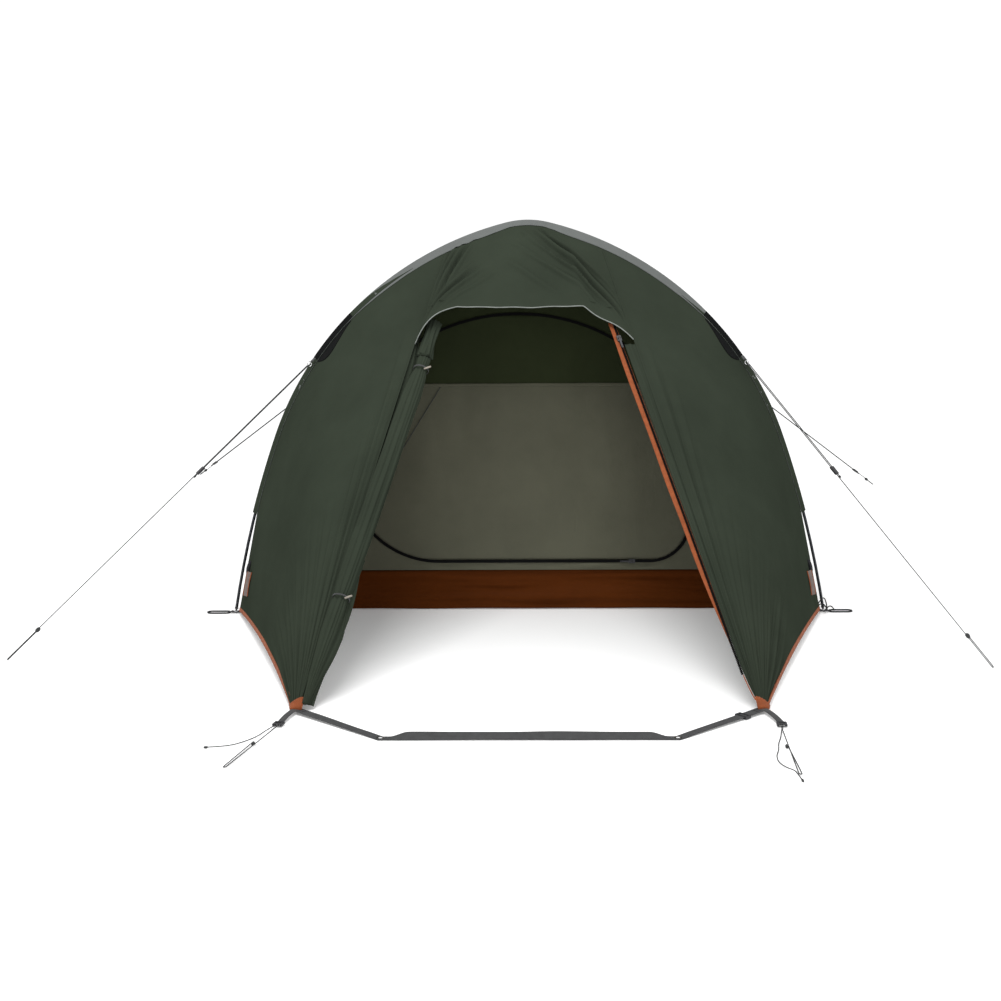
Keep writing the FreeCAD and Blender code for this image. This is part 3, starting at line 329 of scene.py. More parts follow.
def thread_height(tree, coords, pitch, ribs):
    """Height of a plain weave, 0 to 1, with stronger threads every few millimetres."""
    split = add(tree, "SeparateXYZ", {"Vector": coords})
    heights = []
    for axis in ("X", "Y"):
        wave = maths(tree, "SINE", maths(tree, "MULTIPLY", split.outputs[axis], 2 * math.pi / pitch))
        heights.append(maths(tree, "MULTIPLY", wave, 0.25))
    weave = maths(tree, "ADD", heights[0], heights[1])
    if not ribs:
        return weave
    for axis in ("X", "Y"):
        turn = maths(tree, "DIVIDE", split.outputs[axis], ribs)
        saw = maths(tree, "PINGPONG", turn, 0.5)
        line = maths(tree, "LESS_THAN", saw, 0.045)
        weave = maths(tree, "ADD", weave, maths(tree, "MULTIPLY", line, 0.8))
    return weave


def cloth(name, color, roughness=0.55, sheen=0.12, pitch=0.0009, ribs=0.0055, spread=0.10,
          weave=0.00012, crumple=0.0011, specular=0.12):
    """Woven cloth: colour patches, plain weave with ripstop ribs, and fine crumples."""
    material, tree, shader = start_material(name, roughness, 0.0, sheen, specular)
    place = add(tree, "TexCoord")
    body = place.outputs["Object"]
    across = place.outputs["UV"]
    color_out = tinted(tree, color, spread, 4.5, body)
    fine = add(tree, "TexNoise", {"Vector": body, "Scale": 900.0, "Detail": 2.0})
    speck = add(tree, "MixRGB", {"Fac": 0.10, "Color1": color_out, "Color2": fine.outputs["Color"]},
                blend_type="OVERLAY")
    tree.links.new(speck.outputs["Color"], shader.inputs["Base Color"])
    threads = add(tree, "Bump", {"Height": thread_height(tree, across, pitch, ribs),
                                 "Distance": weave, "Strength": 0.7})
    folds = add(tree, "TexNoise", {"Vector": body, "Scale": 26.0, "Detail": 4.0, "Roughness": 0.5,
                                   "Distortion": 0.6})
    soft = add(tree, "Bump", {"Height": folds.outputs["Fac"], "Distance": crumple, "Strength": 0.6,
                              "Normal": threads.outputs["Normal"]})
    tree.links.new(soft.outputs["Normal"], shader.inputs["Normal"])
    return material


def webbing(name, color, pitch=0.0016, metric=True):
    """Ribbed narrow webbing: a herringbone of raised threads."""
    material, tree, shader = start_material(name, 0.72, 0.0, 0.03, 0.15)
    place = add(tree, "TexCoord")
    across = place.outputs["UV"] if metric else place.outputs["Object"]
    split = add(tree, "SeparateXYZ", {"Vector": across})
    ribs = maths(tree, "SINE", maths(tree, "MULTIPLY", split.outputs["Y"], 2 * math.pi / pitch))
    slant = maths(tree, "ADD", split.outputs["X"], maths(tree, "MULTIPLY", ribs, pitch * 0.2))
    cross = maths(tree, "SINE", maths(tree, "MULTIPLY", slant, 2 * math.pi / (pitch * 1.3)))
    height = maths(tree, "ADD", ribs, maths(tree, "MULTIPLY", cross, 0.5))
    bump = add(tree, "Bump", {"Height": height, "Distance": 0.00025, "Strength": 0.8})
    tree.links.new(bump.outputs["Normal"], shader.inputs["Normal"])
    tree.links.new(tinted(tree, color, 0.16, 60.0, place.outputs["Object"]), shader.inputs["Base Color"])
    return material


def moulded(name, color, roughness=0.45, specular=0.3):
    """Moulded plastic with a fine eroded grain and slight scuffs."""
    material, tree, shader = start_material(name, roughness, 0.0, 0.0, specular)
    place = add(tree, "TexCoord").outputs["Object"]
    grain = add(tree, "TexNoise", {"Vector": place, "Scale": 1800.0, "Detail": 3.0})
    bump = add(tree, "Bump", {"Height": grain.outputs["Fac"], "Distance": 0.00008, "Strength": 0.5})
    tree.links.new(bump.outputs["Normal"], shader.inputs["Normal"])
    tree.links.new(tinted(tree, color, 0.12, 90.0, place), shader.inputs["Base Color"])
    return material


def metal(name, color, roughness):
    """Drawn or cast metal with faint streaks in its gloss."""
    material, tree, shader = start_material(name, roughness, 1.0, 0.0, 0.5)
    place = add(tree, "TexCoord").outputs["Object"]
    streaks = add(tree, "TexNoise", {"Vector": place, "Scale": 240.0, "Detail": 3.0})
    wear = add(tree, "MapRange", {"Value": streaks.outputs["Fac"], "To Min": roughness * 0.8,
                                  "To Max": roughness * 1.25})
    tree.links.new(wear.outputs["Result"], shader.inputs["Roughness"])
    tree.links.new(tinted(tree, color, 0.08, 130.0, place), shader.inputs["Base Color"])
    return material


FLY_GREEN = (0.0280, 0.0350, 0.0250)
WEB_BLACK = (0.016, 0.016, 0.018)
TAPE_ORANGE = (0.250, 0.066, 0.022)
MATERIALS = {
    "fly_green": cloth("fly_cloth", FLY_GREEN, 0.46, 0.0, specular=0.0),
    "sleeve_grey": cloth("sleeve_cloth", (0.105, 0.112, 0.108), 0.7, 0.03, ribs=0, crumple=0.0018),
    "binding_light": webbing("binding_tape", (0.20, 0.215, 0.20)),
    "trim_orange": webbing("orange_tape", TAPE_ORANGE),
    "patch_black": cloth("patch_cloth", (0.0045, 0.005, 0.005), 0.6, 0.0, ribs=0, specular=0.02),
    "tag_grey": webbing("woven_tag", (0.19, 0.15, 0.135), 0.0009),
    "webbing_grey": webbing("grey_webbing", (0.052, 0.053, 0.054)),
    "webbing_black": webbing("black_webbing", WEB_BLACK),
    "cord_dark": webbing("braided_cord", (0.040, 0.042, 0.042), 0.0012, metric=False),
    "inner_olive": cloth("inner_cloth", (0.086, 0.086, 0.060), 0.75, 0.02, ribs=0.005),
    "inner_mesh": cloth("insect_mesh", (0.020, 0.026, 0.010), 0.85, 0.0, 0.0014, 0, weave=0.0003),
    "bathtub_brown": cloth("tray_cloth", (0.072, 0.0175, 0.0025), 0.6, 0.0, ribs=0, crumple=0.0022,
                           specular=0.03),
    "zip_black": moulded("zip_coil", (0.004, 0.004, 0.004), 0.8, 0.05),
    "plastic_black": moulded("black_plastic", (0.020, 0.020, 0.022)),
    "toggle_grey": moulded("grey_toggle", (0.24, 0.215, 0.18)),
    "zip_metal": metal("dark_metal", (0.05, 0.05, 0.052), 0.42),
    "pole_dark": metal("pole_metal", (0.035, 0.037, 0.042), 0.32),
    "ferrule_metal": metal("ferrule_metal", (0.45, 0.45, 0.46), 0.35),
    "eyelet_silver": metal("eyelet_metal", (0.72, 0.72, 0.73), 0.22),
    "elastic_black": moulded("elastic", (0.015, 0.015, 0.015), 0.8),
}
# CAD meshes have no cloth coordinates, so their webbing is ribbed by place instead.
CAD_WOVEN = {"webbing_black": webbing("webbing_on_frame", WEB_BLACK, metric=False),
             "trim_orange": webbing("orange_on_frame", TAPE_ORANGE, metric=False)}


def dress_cad_nodes():
    """Give every carried-over CAD node its slot's material, and its plastic and metal nodes softly broken
    edges.
    """
    edged = ("plastic_black", "eyelet_silver", "zip_metal", "toggle_grey")
    for part in frame["record"]["subparts"]:
        obj = frame["nodes"][part["node"]]
        slot = part["material_slot"]
        obj.data.materials.clear()
        obj.data.materials.append(CAD_WOVEN.get(slot, MATERIALS[slot]))
        if slot in edged:
            bevel = obj.modifiers.new("edges", "BEVEL")
            bevel.width = 0.0004
            bevel.segments = 2
            bevel.limit_method = "ANGLE"


# ---- the hoop's shape ------------------------------------------------------------------
def hoop_point(angle, scale, inset):
    """(x, z) of the hoop at a signed angle from straight up."""
    side = -1 if angle < 0 else 1
    x, z, radius = 0.0, HEIGHT - HOOP_RADII[0], HOOP_RADII[0]
    for end, following in zip(HOOP_BREAKS, HOOP_RADII[1:]):
        if abs(angle) <= end:
            break
        x += (radius - following) * math.sin(end)
        z += (radius - following) * math.cos(end)
        radius = following
    reach = radius * scale - inset
    return side * x * scale + reach * math.sin(angle), z * scale + reach * math.cos(angle)


def leg_angle(z, scale, inset):
    """The angle at which the hoop's leg is at a height."""
    low, high = HOOP_BREAKS[1], math.radians(100)
    for _ in range(40):
        middle = (low + high) / 2
        if hoop_point(middle, scale, inset)[1] > z:
            low = middle
        else:
            high = middle
    return low


def arch(y, scale, inset, end_z, samples=600):
    """The hoop's outline between two equal heights on its legs, left to right."""
    leg = leg_angle(end_z, scale, inset)
    angles = np.linspace(-leg, leg, samples)
    spots = [hoop_point(a, scale, inset) for a in angles]
    return np.array([(x, y, z) for x, z in spots])


def fly_line(y, scale):
    """The flysheet's edge at a hoop, from the left hem over the top to the right hem."""
    line = arch(y, scale, FLY_INSET, LEG_Z * scale)
    foot = FLY_BASE_X * scale
    return np.vstack([[(-foot, y, HEM_Z)], line, [(foot, y, HEM_Z)]])


def share_at_x(line, x):
    """The share of a line's length where its upper part passes a given x."""
    along = lengths(line)
    return float(np.interp(x, line[:, 0][1:-1], along[1:-1])) / along[-1]


def front_edge(side, t):
    """The straight front edge of the porch, from the hoop down to the corner."""
    top = Vector(resample(LINE_F, [SEAM_SHARE[side]])[0])
    low = Vector((side * (CORNER.x - CORNER_HALF), CORNER.y, CORNER.z))
    return top.lerp(low, t)


# ---- flysheet --------------------------------------------------------------------------
SIDE_COLS, BROW_COLS = 170, 130
BROW_DEPTH = 1.7                          # how much deeper the brow's creases are than listed
BROW_ROWS, SIDE_ROWS = 64, 210            # rows down the brow, and down the whole front edge
BODY_ROWS, TAIL_ROWS = 50, 44
LINE_F = fly_line(FRONT_Y - SLEEVE_HALF, 1.0)
SEAM_SHARE = {side: share_at_x(LINE_F, side * x) for side, x in SEAM_TOP_X.items()}
COLUMNS = np.concatenate([
    np.linspace(0, SEAM_SHARE[-1], SIDE_COLS),
    np.linspace(SEAM_SHARE[-1], SEAM_SHARE[1], BROW_COLS)[1:],
    np.linspace(SEAM_SHARE[1], 1, SIDE_COLS)[1:]])
FRONT_STEPS = np.concatenate([
    np.linspace(0, BROW_END, BROW_ROWS),
    np.linspace(BROW_END, 1, SIDE_ROWS - BROW_ROWS + 1)[1:]])


def between(first, last, steps):
    """Rows from one line of points to another."""
    steps = np.asarray(steps)[:, None, None]
    return first[None] * (1 - steps) + last[None] * steps


def porch_base(side):
    """One porch side before its folds: columns from the foot to the front edge."""
    shares = np.linspace(0, SEAM_SHARE[-1], SIDE_COLS)
    if side > 0:
        shares = np.linspace(1, SEAM_SHARE[1], SIDE_COLS)
    top = resample(LINE_F, shares)
    hem = Vector((side * (CORNER.x + CORNER_HALF), CORNER.y + 0.006, CORNER.z - 0.002))
    low = front_edge(side, 1)
    corner = np.array([hem.lerp(low, i / (SIDE_COLS - 1)) for i in range(SIDE_COLS)])
    grid = between(top, corner, FRONT_STEPS)
    return np.array([hitched(row, HEM_ARC[side] * math.sin(math.pi * t) ** 0.8)
                     for row, t in zip(grid, FRONT_STEPS)])


def hitched(row, rise):
    """A row drawn in at its foot, so that the hem between two pegs hangs in an arc."""
    first = min(0.35, rise / lengths(row)[-1])
    return resample(row, first + (1 - first) * np.linspace(0, 1, len(row)))


def porch_folds(side, grid):
    """Heights of a porch side's folds: a fan from the corner, pulls at the guy and hem."""
    u = np.linspace(0, 1, SIDE_COLS)[None, :] * np.ones((SIDE_ROWS, 1))
    v = FRONT_STEPS[:, None] * np.ones((1, SIDE_COLS))
    border = smooth_step(v, 0, 0.10) * smooth_step(u, 0, 0.03) * (1 - smooth_step(u, 0.985, 1.0))
    fan = smooth_step(v, 0.42, 0.86) * (1 - smooth_step(v, 0.970, 1.0))
    if side < 0:
        folds = wavy(u, (7, 12, 19, 27), (0.1, 0.6, 0.35, 0.8), (0.0014, 0.0017, 0.0012, 0.0006))
        pulls = (
         ((0.955, 0.20), (0.930, 0.985), 0.011, 0.0100), ((0.985, 0.26), (0.975, 0.99), 0.007, -0.0080),
         ((0.915, 0.34), (0.890, 0.975), 0.009, -0.0062), ((0.880, 0.42), (0.850, 0.97), 0.010, 0.0062),
         ((0.835, 0.55), (0.800, 0.97), 0.009, -0.0040), ((0.790, 0.60), (0.760, 0.96), 0.010, 0.0040),
         ((0.58, 0.66), (0.60, 0.96), 0.012, 0.0032), ((0.47, 0.62), (0.50, 0.95), 0.010, -0.0026),
         ((0.34, 0.56), (0.42, 0.95), 0.014, 0.0034), ((0.24, 0.60), (0.30, 0.93), 0.012, -0.0028),
         ((0.55, 0.08), (0.72, 0.36), 0.035, 0.0030))
    else:
        folds = wavy(u, (6, 11, 17, 26), (0.3, 0.15, 0.7, 0.4), (0.0010, 0.0013, 0.0009, 0.0005))
        pulls = (
         ((0.955, 0.24), (0.940, 0.985), 0.009, 0.0080), ((0.925, 0.27), (0.905, 0.985), 0.008, -0.0068),
         ((0.890, 0.30), (0.870, 0.975), 0.009, 0.0052), ((0.850, 0.42), (0.830, 0.96), 0.010, -0.0030),
         ((0.14, 0.50), (0.09, 0.90), 0.012, 0.0085), ((0.19, 0.48), (0.14, 0.92), 0.010, -0.0075),
         ((0.24, 0.50), (0.20, 0.93), 0.012, 0.0080), ((0.29, 0.56), (0.26, 0.93), 0.010, -0.0062),
         ((0.35, 0.62), (0.33, 0.94), 0.012, 0.0045), ((0.60, 0.10), (0.75, 0.40), 0.035, 0.0030))
    height = fan * folds
    for start, end, width, size in pulls:
        height += crease(u, v, start, end, width, size)
    pull = smooth_step(v, 0.0, 0.30) * (1 - smooth_step(v, 0.30, 0.85))
    height += lumps(grid, 4.0, 0.006) * pull
    height -= 0.010 * np.sin(math.pi * v) * np.sin(math.pi * np.clip(u * 0.9, 0, 1))
    return height * border


def brow_hem_line():
    """The brow's lower edge: a riser at each side and a slack level stretch."""
    y, z = BROW_HEM
    left, right = front_edge(-1, BROW_END), front_edge(1, BROW_END)
    top_l, top_r = Vector((BROW_LEVEL[0], y, z)), Vector((BROW_LEVEL[1], y, z))
    points = []
    for i in range(24):
        t = i / 24
        bulge = Vector((-0.010, -0.004, 0.020)) * math.sin(math.pi * t)
        points.append(left.lerp(top_l, t) + bulge)
    for i in range(30):
        t = i / 30
        slack = 0.004 * math.sin(math.pi * t) + 0.0007 * math.sin(7.5 * math.pi * t)
        points.append(top_l.lerp(top_r, t) + Vector((0, 0.5 * slack, -slack)))
    for i in range(25):
        t = i / 24
        sway = 0.005 * math.sin(2 * math.pi * t) - 0.004 * math.sin(math.pi * t)
        points.append(top_r.lerp(right, t) - Vector((0, 0, 1)) * sway)
    return np.array(points)


def brow_base():
    top = resample(LINE_F, np.linspace(SEAM_SHARE[-1], SEAM_SHARE[1], BROW_COLS))
    hem = resample(brow_hem_line(), np.linspace(0, 1, BROW_COLS))
    grid = between(top, hem, np.linspace(0, 1, BROW_ROWS))
    for column, side in ((0, -1), (-1, 1)):
        edge = [front_edge(side, t) for t in FRONT_STEPS[:BROW_ROWS]]
        grid[:, column] = np.array(edge)
    return grid


def brow_folds(grid):
    """The brow's pulls: long creases from its peak to the lower right, short ones at the left."""
    u = np.linspace(0, 1, BROW_COLS)[None, :] * np.ones((BROW_ROWS, 1))
    v = np.linspace(0, 1, BROW_ROWS)[:, None] * np.ones((1, BROW_COLS))
    border = smooth_step(u, 0, 0.04) * (1 - smooth_step(u, 0.97, 1)) * smooth_step(v, 0, 0.08)
    height = 0.012 * np.sin(math.pi * u) * smooth_step(v, 0, 0.6)
    for start, end, width, size in (
            ((0.56, 0.02), (0.985, 0.80), 0.018, 0.0115),
            ((0.60, 0.02), (0.99, 0.70), 0.012, -0.0080),
            ((0.50, 0.06), (0.945, 0.86), 0.014, 0.0090),
            ((0.52, 0.10), (0.965, 0.84), 0.009, -0.0070),
            ((0.45, 0.20), (0.84, 0.84), 0.020, 0.0080),
            ((0.49, 0.28), (0.86, 0.80), 0.012, -0.0050),
            ((0.42, 0.42), (0.66, 0.84), 0.022, 0.0050),
            ((0.68, 0.10), (0.99, 0.56), 0.016, 0.0070),
            ((0.075, 0.02), (0.055, 0.80), 0.013, 0.0095),
            ((0.045, 0.03), (0.025, 0.85), 0.009, -0.0080),
            ((0.125, 0.03), (0.085, 0.72), 0.013, 0.0085),
            ((0.160, 0.02), (0.110, 0.66), 0.010, -0.0055),
            ((0.205, 0.05), (0.140, 0.60), 0.014, 0.0060),
            ((0.26, 0.40), (0.05, 0.90), 0.014, 0.0065),
            ((0.31, 0.50), (0.08, 0.94), 0.012, 0.0060),
            ((0.29, 0.45), (0.065, 0.92), 0.008, -0.0045),
            ((0.38, 0.55), (0.14, 0.97), 0.014, 0.0045)):
        height += crease(u, v, start, end, width, size * BROW_DEPTH)
    height += lumps(grid, 9.0, 0.004)
    return height * border


def tail_ground():
    """The tail's hem: two pegged corners and a straight back."""
    line = fly_line(REAR_Y + SLEEVE_HALF, REAR_SCALE)
    seam = share_at_x(line, -TAIL_SEAM_X)
    out_l = np.array((-TAIL_HALF - 0.012, TAIL_Y - 0.010, HEM_Z))
    in_l = np.array((-TAIL_HALF + 0.012, TAIL_Y, HEM_Z))
    flip = np.array((-1, 1, 1))
    marks = np.array([0, seam, 1 - seam, 1])
    ends = np.array([out_l, in_l, in_l * flip, out_l * flip])
    return np.stack([np.interp(COLUMNS, marks, ends[:, k]) for k in range(3)], axis=1)


def body_base():
    """The roof between the hoops and the tail behind them, one run of rows."""
    rows = [resample(LINE_F, COLUMNS),
            resample(fly_line(FRONT_Y, 1.0), COLUMNS)]
    front = resample(fly_line(FRONT_Y + SLEEVE_HALF, 1.0), COLUMNS)
    rear = resample(fly_line(REAR_Y - SLEEVE_HALF, REAR_SCALE), COLUMNS)
    for v in np.linspace(0, 1, BODY_ROWS):
        row = front * (1 - v) + rear * v
        sink = 1 - SAG * 4 * v * (1 - v)
        row[:, 0] *= sink
        row[:, 2] = HEM_Z + (row[:, 2] - HEM_Z) * sink
        rows.append(row)
    rows.append(resample(fly_line(REAR_Y, REAR_SCALE), COLUMNS))
    hoop = resample(fly_line(REAR_Y + SLEEVE_HALF, REAR_SCALE), COLUMNS)
    return np.concatenate([np.array(rows), between(hoop, tail_ground(), np.linspace(0, 1, TAIL_ROWS))])


def body_folds(grid):
    """Roof and tail folds: lengthwise pulls from hoop to hoop and a fan at each tail corner."""
    rows, cols = grid.shape[:2]
    u = COLUMNS[None, :] * np.ones((rows, 1))
    index = np.arange(rows)[:, None] * np.ones((1, cols))
    body = np.clip((index - 2) / (BODY_ROWS - 1), 0, 1)
    tail = np.clip((index - 3 - BODY_ROWS) / (TAIL_ROWS - 1), 0, 1)
    height = np.sin(math.pi * body) * 0.25 * lumps(grid, 3.0, 0.02)
    near = np.sin(math.pi * body) * (np.exp(-body / 0.10) + np.exp(-(1 - body) / 0.10))
    height += near * wavy(u, (17, 29, 41), (0.2, 0.5, 0.9), (0.0030, 0.0025, 0.0015))
    fan = smooth_step(tail, 0.45, 0.85) * (1 - smooth_step(tail, 0.95, 1.0))
    sides = 1 - smooth_step(np.minimum(u, 1 - u), 0.25, 0.40)
    height += fan * sides * wavy(u, (15, 24, 37), (0.4, 0.1, 0.7), (0.0022, 0.0020, 0.0012))
    height += np.sin(math.pi * tail) * lumps(grid, 4.0, 0.008)
    height -= 0.012 * np.sin(math.pi * tail)
    rim = smooth_step(np.minimum(u, 1 - u), 0, 0.02)
    flat = (index <= 2) | ((body >= 1) & (tail <= 0))
    return np.where(flat, 0, height * rim)


def make_flysheet():
    left, right, brow = porch_base(-1), porch_base(1), brow_base()
    left = pushed(left, porch_folds(-1, left), -1.0)
    right = pushed(right, porch_folds(1, right), 1.0)
    brow = pushed(brow, brow_folds(brow), -1.0)
    main = body_base()
    main = pushed(main, body_folds(main), 1.0)
    fly = grid_piece("flysheet", [left, right[:, ::-1], brow, main[::-1]],
                     "tent", "fly_green")
    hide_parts("fly_porch_left", "fly_porch_right", "fly_brow", "fly_body", "fly_tail",
                "fly_leg_strips")
    return fly, {"left": left, "right": right, "brow": brow, "main": main}


# ---- sleeves and fly trim --------------------------------------------------------------
def vec(*values):
    return np.array(values, float)


def unit(v):
    v = np.asarray(v, float)
    return v / np.linalg.norm(v)


def sampled(grid, u, v):
    """A point of a sheet at shares across its columns and down its rows."""
    rows, cols = grid.shape[:2]
    r, c = np.clip(v, 0, 1) * (rows - 1), np.clip(u, 0, 1) * (cols - 1)
    r0, c0 = int(min(r, rows - 2)), int(min(c, cols - 2))
    a, b = r - r0, c - c0
    near = grid[r0, c0] * (1 - b) + grid[r0, c0 + 1] * b
    far = grid[r0 + 1, c0] * (1 - b) + grid[r0 + 1, c0 + 1] * b
    return near * (1 - a) + far * a


def front_fall():
    """The direction in which the cloth leaves the front hoop, by x."""
    left, right, brow = SHEETS["left"], SHEETS["right"], SHEETS["brow"]
    top = np.vstack([left[0], brow[0][1:-1], right[0][::-1]])
    low = np.vstack([left[8], brow[8][1:-1], right[8][::-1]])
    fall = low - top
    return top[:, 0], fall / np.linalg.norm(fall, axis=1, keepdims=True)


SLEEVE_PROFILE = ((-0.0256, -0.0150), (-0.0210, -0.0118), (-0.0150, -0.0074), (-0.0090, -0.0030),
                  (-0.0045, -0.0006), (0.0, 0.0), (0.0045, -0.0006), (0.0090, -0.0030),
                  (0.0150, -0.0074), (0.0210, -0.0118), (0.0256, -0.0150))


def sleeve_drop(dy):
    """How far the sleeve's surface lies below its ridge, at a distance across it."""
    return float(np.interp(dy, *zip(*SLEEVE_PROFILE)))


def make_sleeve(name, node, y, scale, front):
    """A tunnel of cloth over a pole, puckered by its two rows of stitches."""
    leg = leg_angle(LEG_Z * scale, scale, 0)
    angles = np.linspace(-leg, leg, 620)
    xs, falls = front_fall()
    grid = []
    run, last = 0.0, None
    for angle in angles:
        x, z = hoop_point(angle, scale, 0)
        run += 0 if last is None else math.hypot(x - last[0], z - last[1])
        last = (x, z)
        row = []
        for dy, dr in SLEEVE_PROFILE:
            flank = float(smooth_step(abs(dy), 0.004, 0.014) * (1 - smooth_step(abs(dy), 0.022, 0.0256)))
            pucker = noise.noise(Vector((run * 75, dy * 90, 1.7))) * 0.0016
            pucker += noise.noise(Vector((run * 190, dy * 60, 5.1))) * 0.0008
            peak = math.exp(-(x / 0.055) ** 2)
            pucker *= 1 + 1.6 * peak
            px, pz = hoop_point(angle, scale, -dr - pucker * flank)
            row.append(vec(px, y + dy, pz))
        if front:
            wide = 0.0115 * float(smooth_step(abs(x), 0.04, 0.13) * (1 - smooth_step(abs(x), 0.38, 0.56)))
            wide += 0.0008 * noise.noise(Vector((run * 30, 0, 0)))
            fall = vec(*[np.interp(x, xs, falls[:, k]) for k in range(3)])
            out = unit(vec(0.8 * math.sin(angle), -0.6, 0.8 * math.cos(angle)))
            skirt = [row[0] + fall * max(wide, 0.0004) * k + out * 0.0012 for k in (1.0, 0.5)]
            row = skirt + row
        grid.append(row)
    piece = grid_piece(name, np.array(grid), "tent", "sleeve_grey", 0.0007)
    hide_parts(node)
    return piece


def make_sleeve_cover():
    """The flysheet's own cloth, lapped up over the front sleeve's flank towards the shoulders."""
    leg = leg_angle(LEG_Z, 1.0, 0)
    for side in (-1, 1):
        first = 0.31 if side < 0 else 0.42
        grid = []
        for angle in np.linspace(math.radians(12), leg, 420):
            x = hoop_point(angle, 1.0, 0)[0]
            lap = 0.0185 * float(smooth_step(x, first, first + 0.16))
            if lap < 0.0006:
                continue
            row = []
            for k in np.linspace(0, 1, 7):
                dy = -0.0262 + lap * k
                ripple = 0.0004 * noise.noise(Vector((x * 60, dy * 80, side * 3.0)))
                px, pz = hoop_point(angle, 1.0, -sleeve_drop(dy) - 0.0013 - ripple)
                row.append(vec(side * px, FRONT_Y + dy, pz))
            grid.append(row)
        name = "sleeve_lap_" + SIDE_NAMES[side]
        grid_piece(name, np.array(grid), "tent", "fly_green", 0.0006, 0)


def edge_tape(name, lines, slot, width, thick=0.0018):
    """Tape folded over the edge of a sheet. Each line is (edge points, next points in)."""
    rings = []
    for edge, inside in lines:
        up = inside - edge
        section = [(b, a + width * 0.18) for a, b in band_section(width, thick)]
        rings.append(swept(edge, up, section))
    return solid_piece(name, rings, "tent", slot)


def seam_band(name, points, outs, width):
    """Felled seams: narrow raised bands that lie on the cloth."""
    rings = [swept(p, o, band_section(width, 0.0012)) for p, o in zip(points, outs)]
    solid_piece(name, rings, "tent", "fly_green")


def make_fly_trim():
    left, right, brow, main = (SHEETS[k] for k in ("left", "right", "brow", "main"))
    body = slice(2, 3 + BODY_ROWS)
    tail = slice(3 + BODY_ROWS, None)
    lines = [(left[:, 0], left[:, 3]), (right[:, 0], right[:, 3])]
    for part in (body, tail):
        lines += [(main[part, 0], main[part, 2]), (main[part, -1], main[part, -3])]
    seam = int(np.argmin(abs(main[-1, :, 0] + TAIL_HALF - 0.012)))
    lines += [(main[-1, seam:-seam], main[-3, seam:-seam])]
    hem = edge_tape("orange_hem_tape", lines, "trim_orange", 0.0135, 0.0036)
    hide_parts("hem_piping")
    edge = brow[-1] + unit(vec(0, -0.75, 0.66)) * 0.0008
    binding = edge_tape("brow_hem_binding", [(edge, brow[-5])], "binding_light", 0.0034, 0.0024)
    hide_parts("brow_binding")
    runs, outs = [], []
    for side in (-1, 1):
        points = np.array([front_edge(side, t) for t in np.linspace(0.012, BROW_END * 0.99, 60)])
        out = unit(vec(side * 0.35, -0.70, 0.62))
        runs.append(points + out * 0.0010)
        outs.append(out)
    for u0, v0, u1, v1 in ((0.075, 0.79, 0.20, 0.86), (0.80, 0.84, 0.935, 0.80)):
        steps = np.linspace(0, 1, 24)
        points = np.array([sampled(brow, u0 + (u1 - u0) * s, v0 + (v1 - v0) * s) for s in steps])
        runs.append(points + unit(vec(0, -0.70, 0.70)) * 0.0008)
        outs.append(unit(vec(0, -0.70, 0.70)))
    seam_band("brow_seams", runs, outs, 0.0055)
    runs, outs = [], []
    for share in (0.28, 0.72):
        column = int(share * (main.shape[1] - 1))
        points = main[2:3 + BODY_ROWS, column]
        out = normals(main)[2:3 + BODY_ROWS, column]
        runs.append(points + out * 0.0008)
        outs.append(out)
    for side in (-1, 1):
        column = int(np.argmin(abs(main[4 + BODY_ROWS, :, 0] - side * TAIL_SEAM_X)))
        runs.append(main[4 + BODY_ROWS:, column] + normals(main)[4 + BODY_ROWS:, column] * 0.0008)
        outs.append(normals(main)[4 + BODY_ROWS:, column])
    seam_band("roof_seams", runs, outs, 0.007)


def arc_share(line, angle_z):
    """The share of a hoop line at which its left side reaches a height."""
    along = lengths(line)
    rising = line[:len(line) // 2]
    return float(np.interp(angle_z, rising[:, 2], along[:len(rising)])) / along[-1]


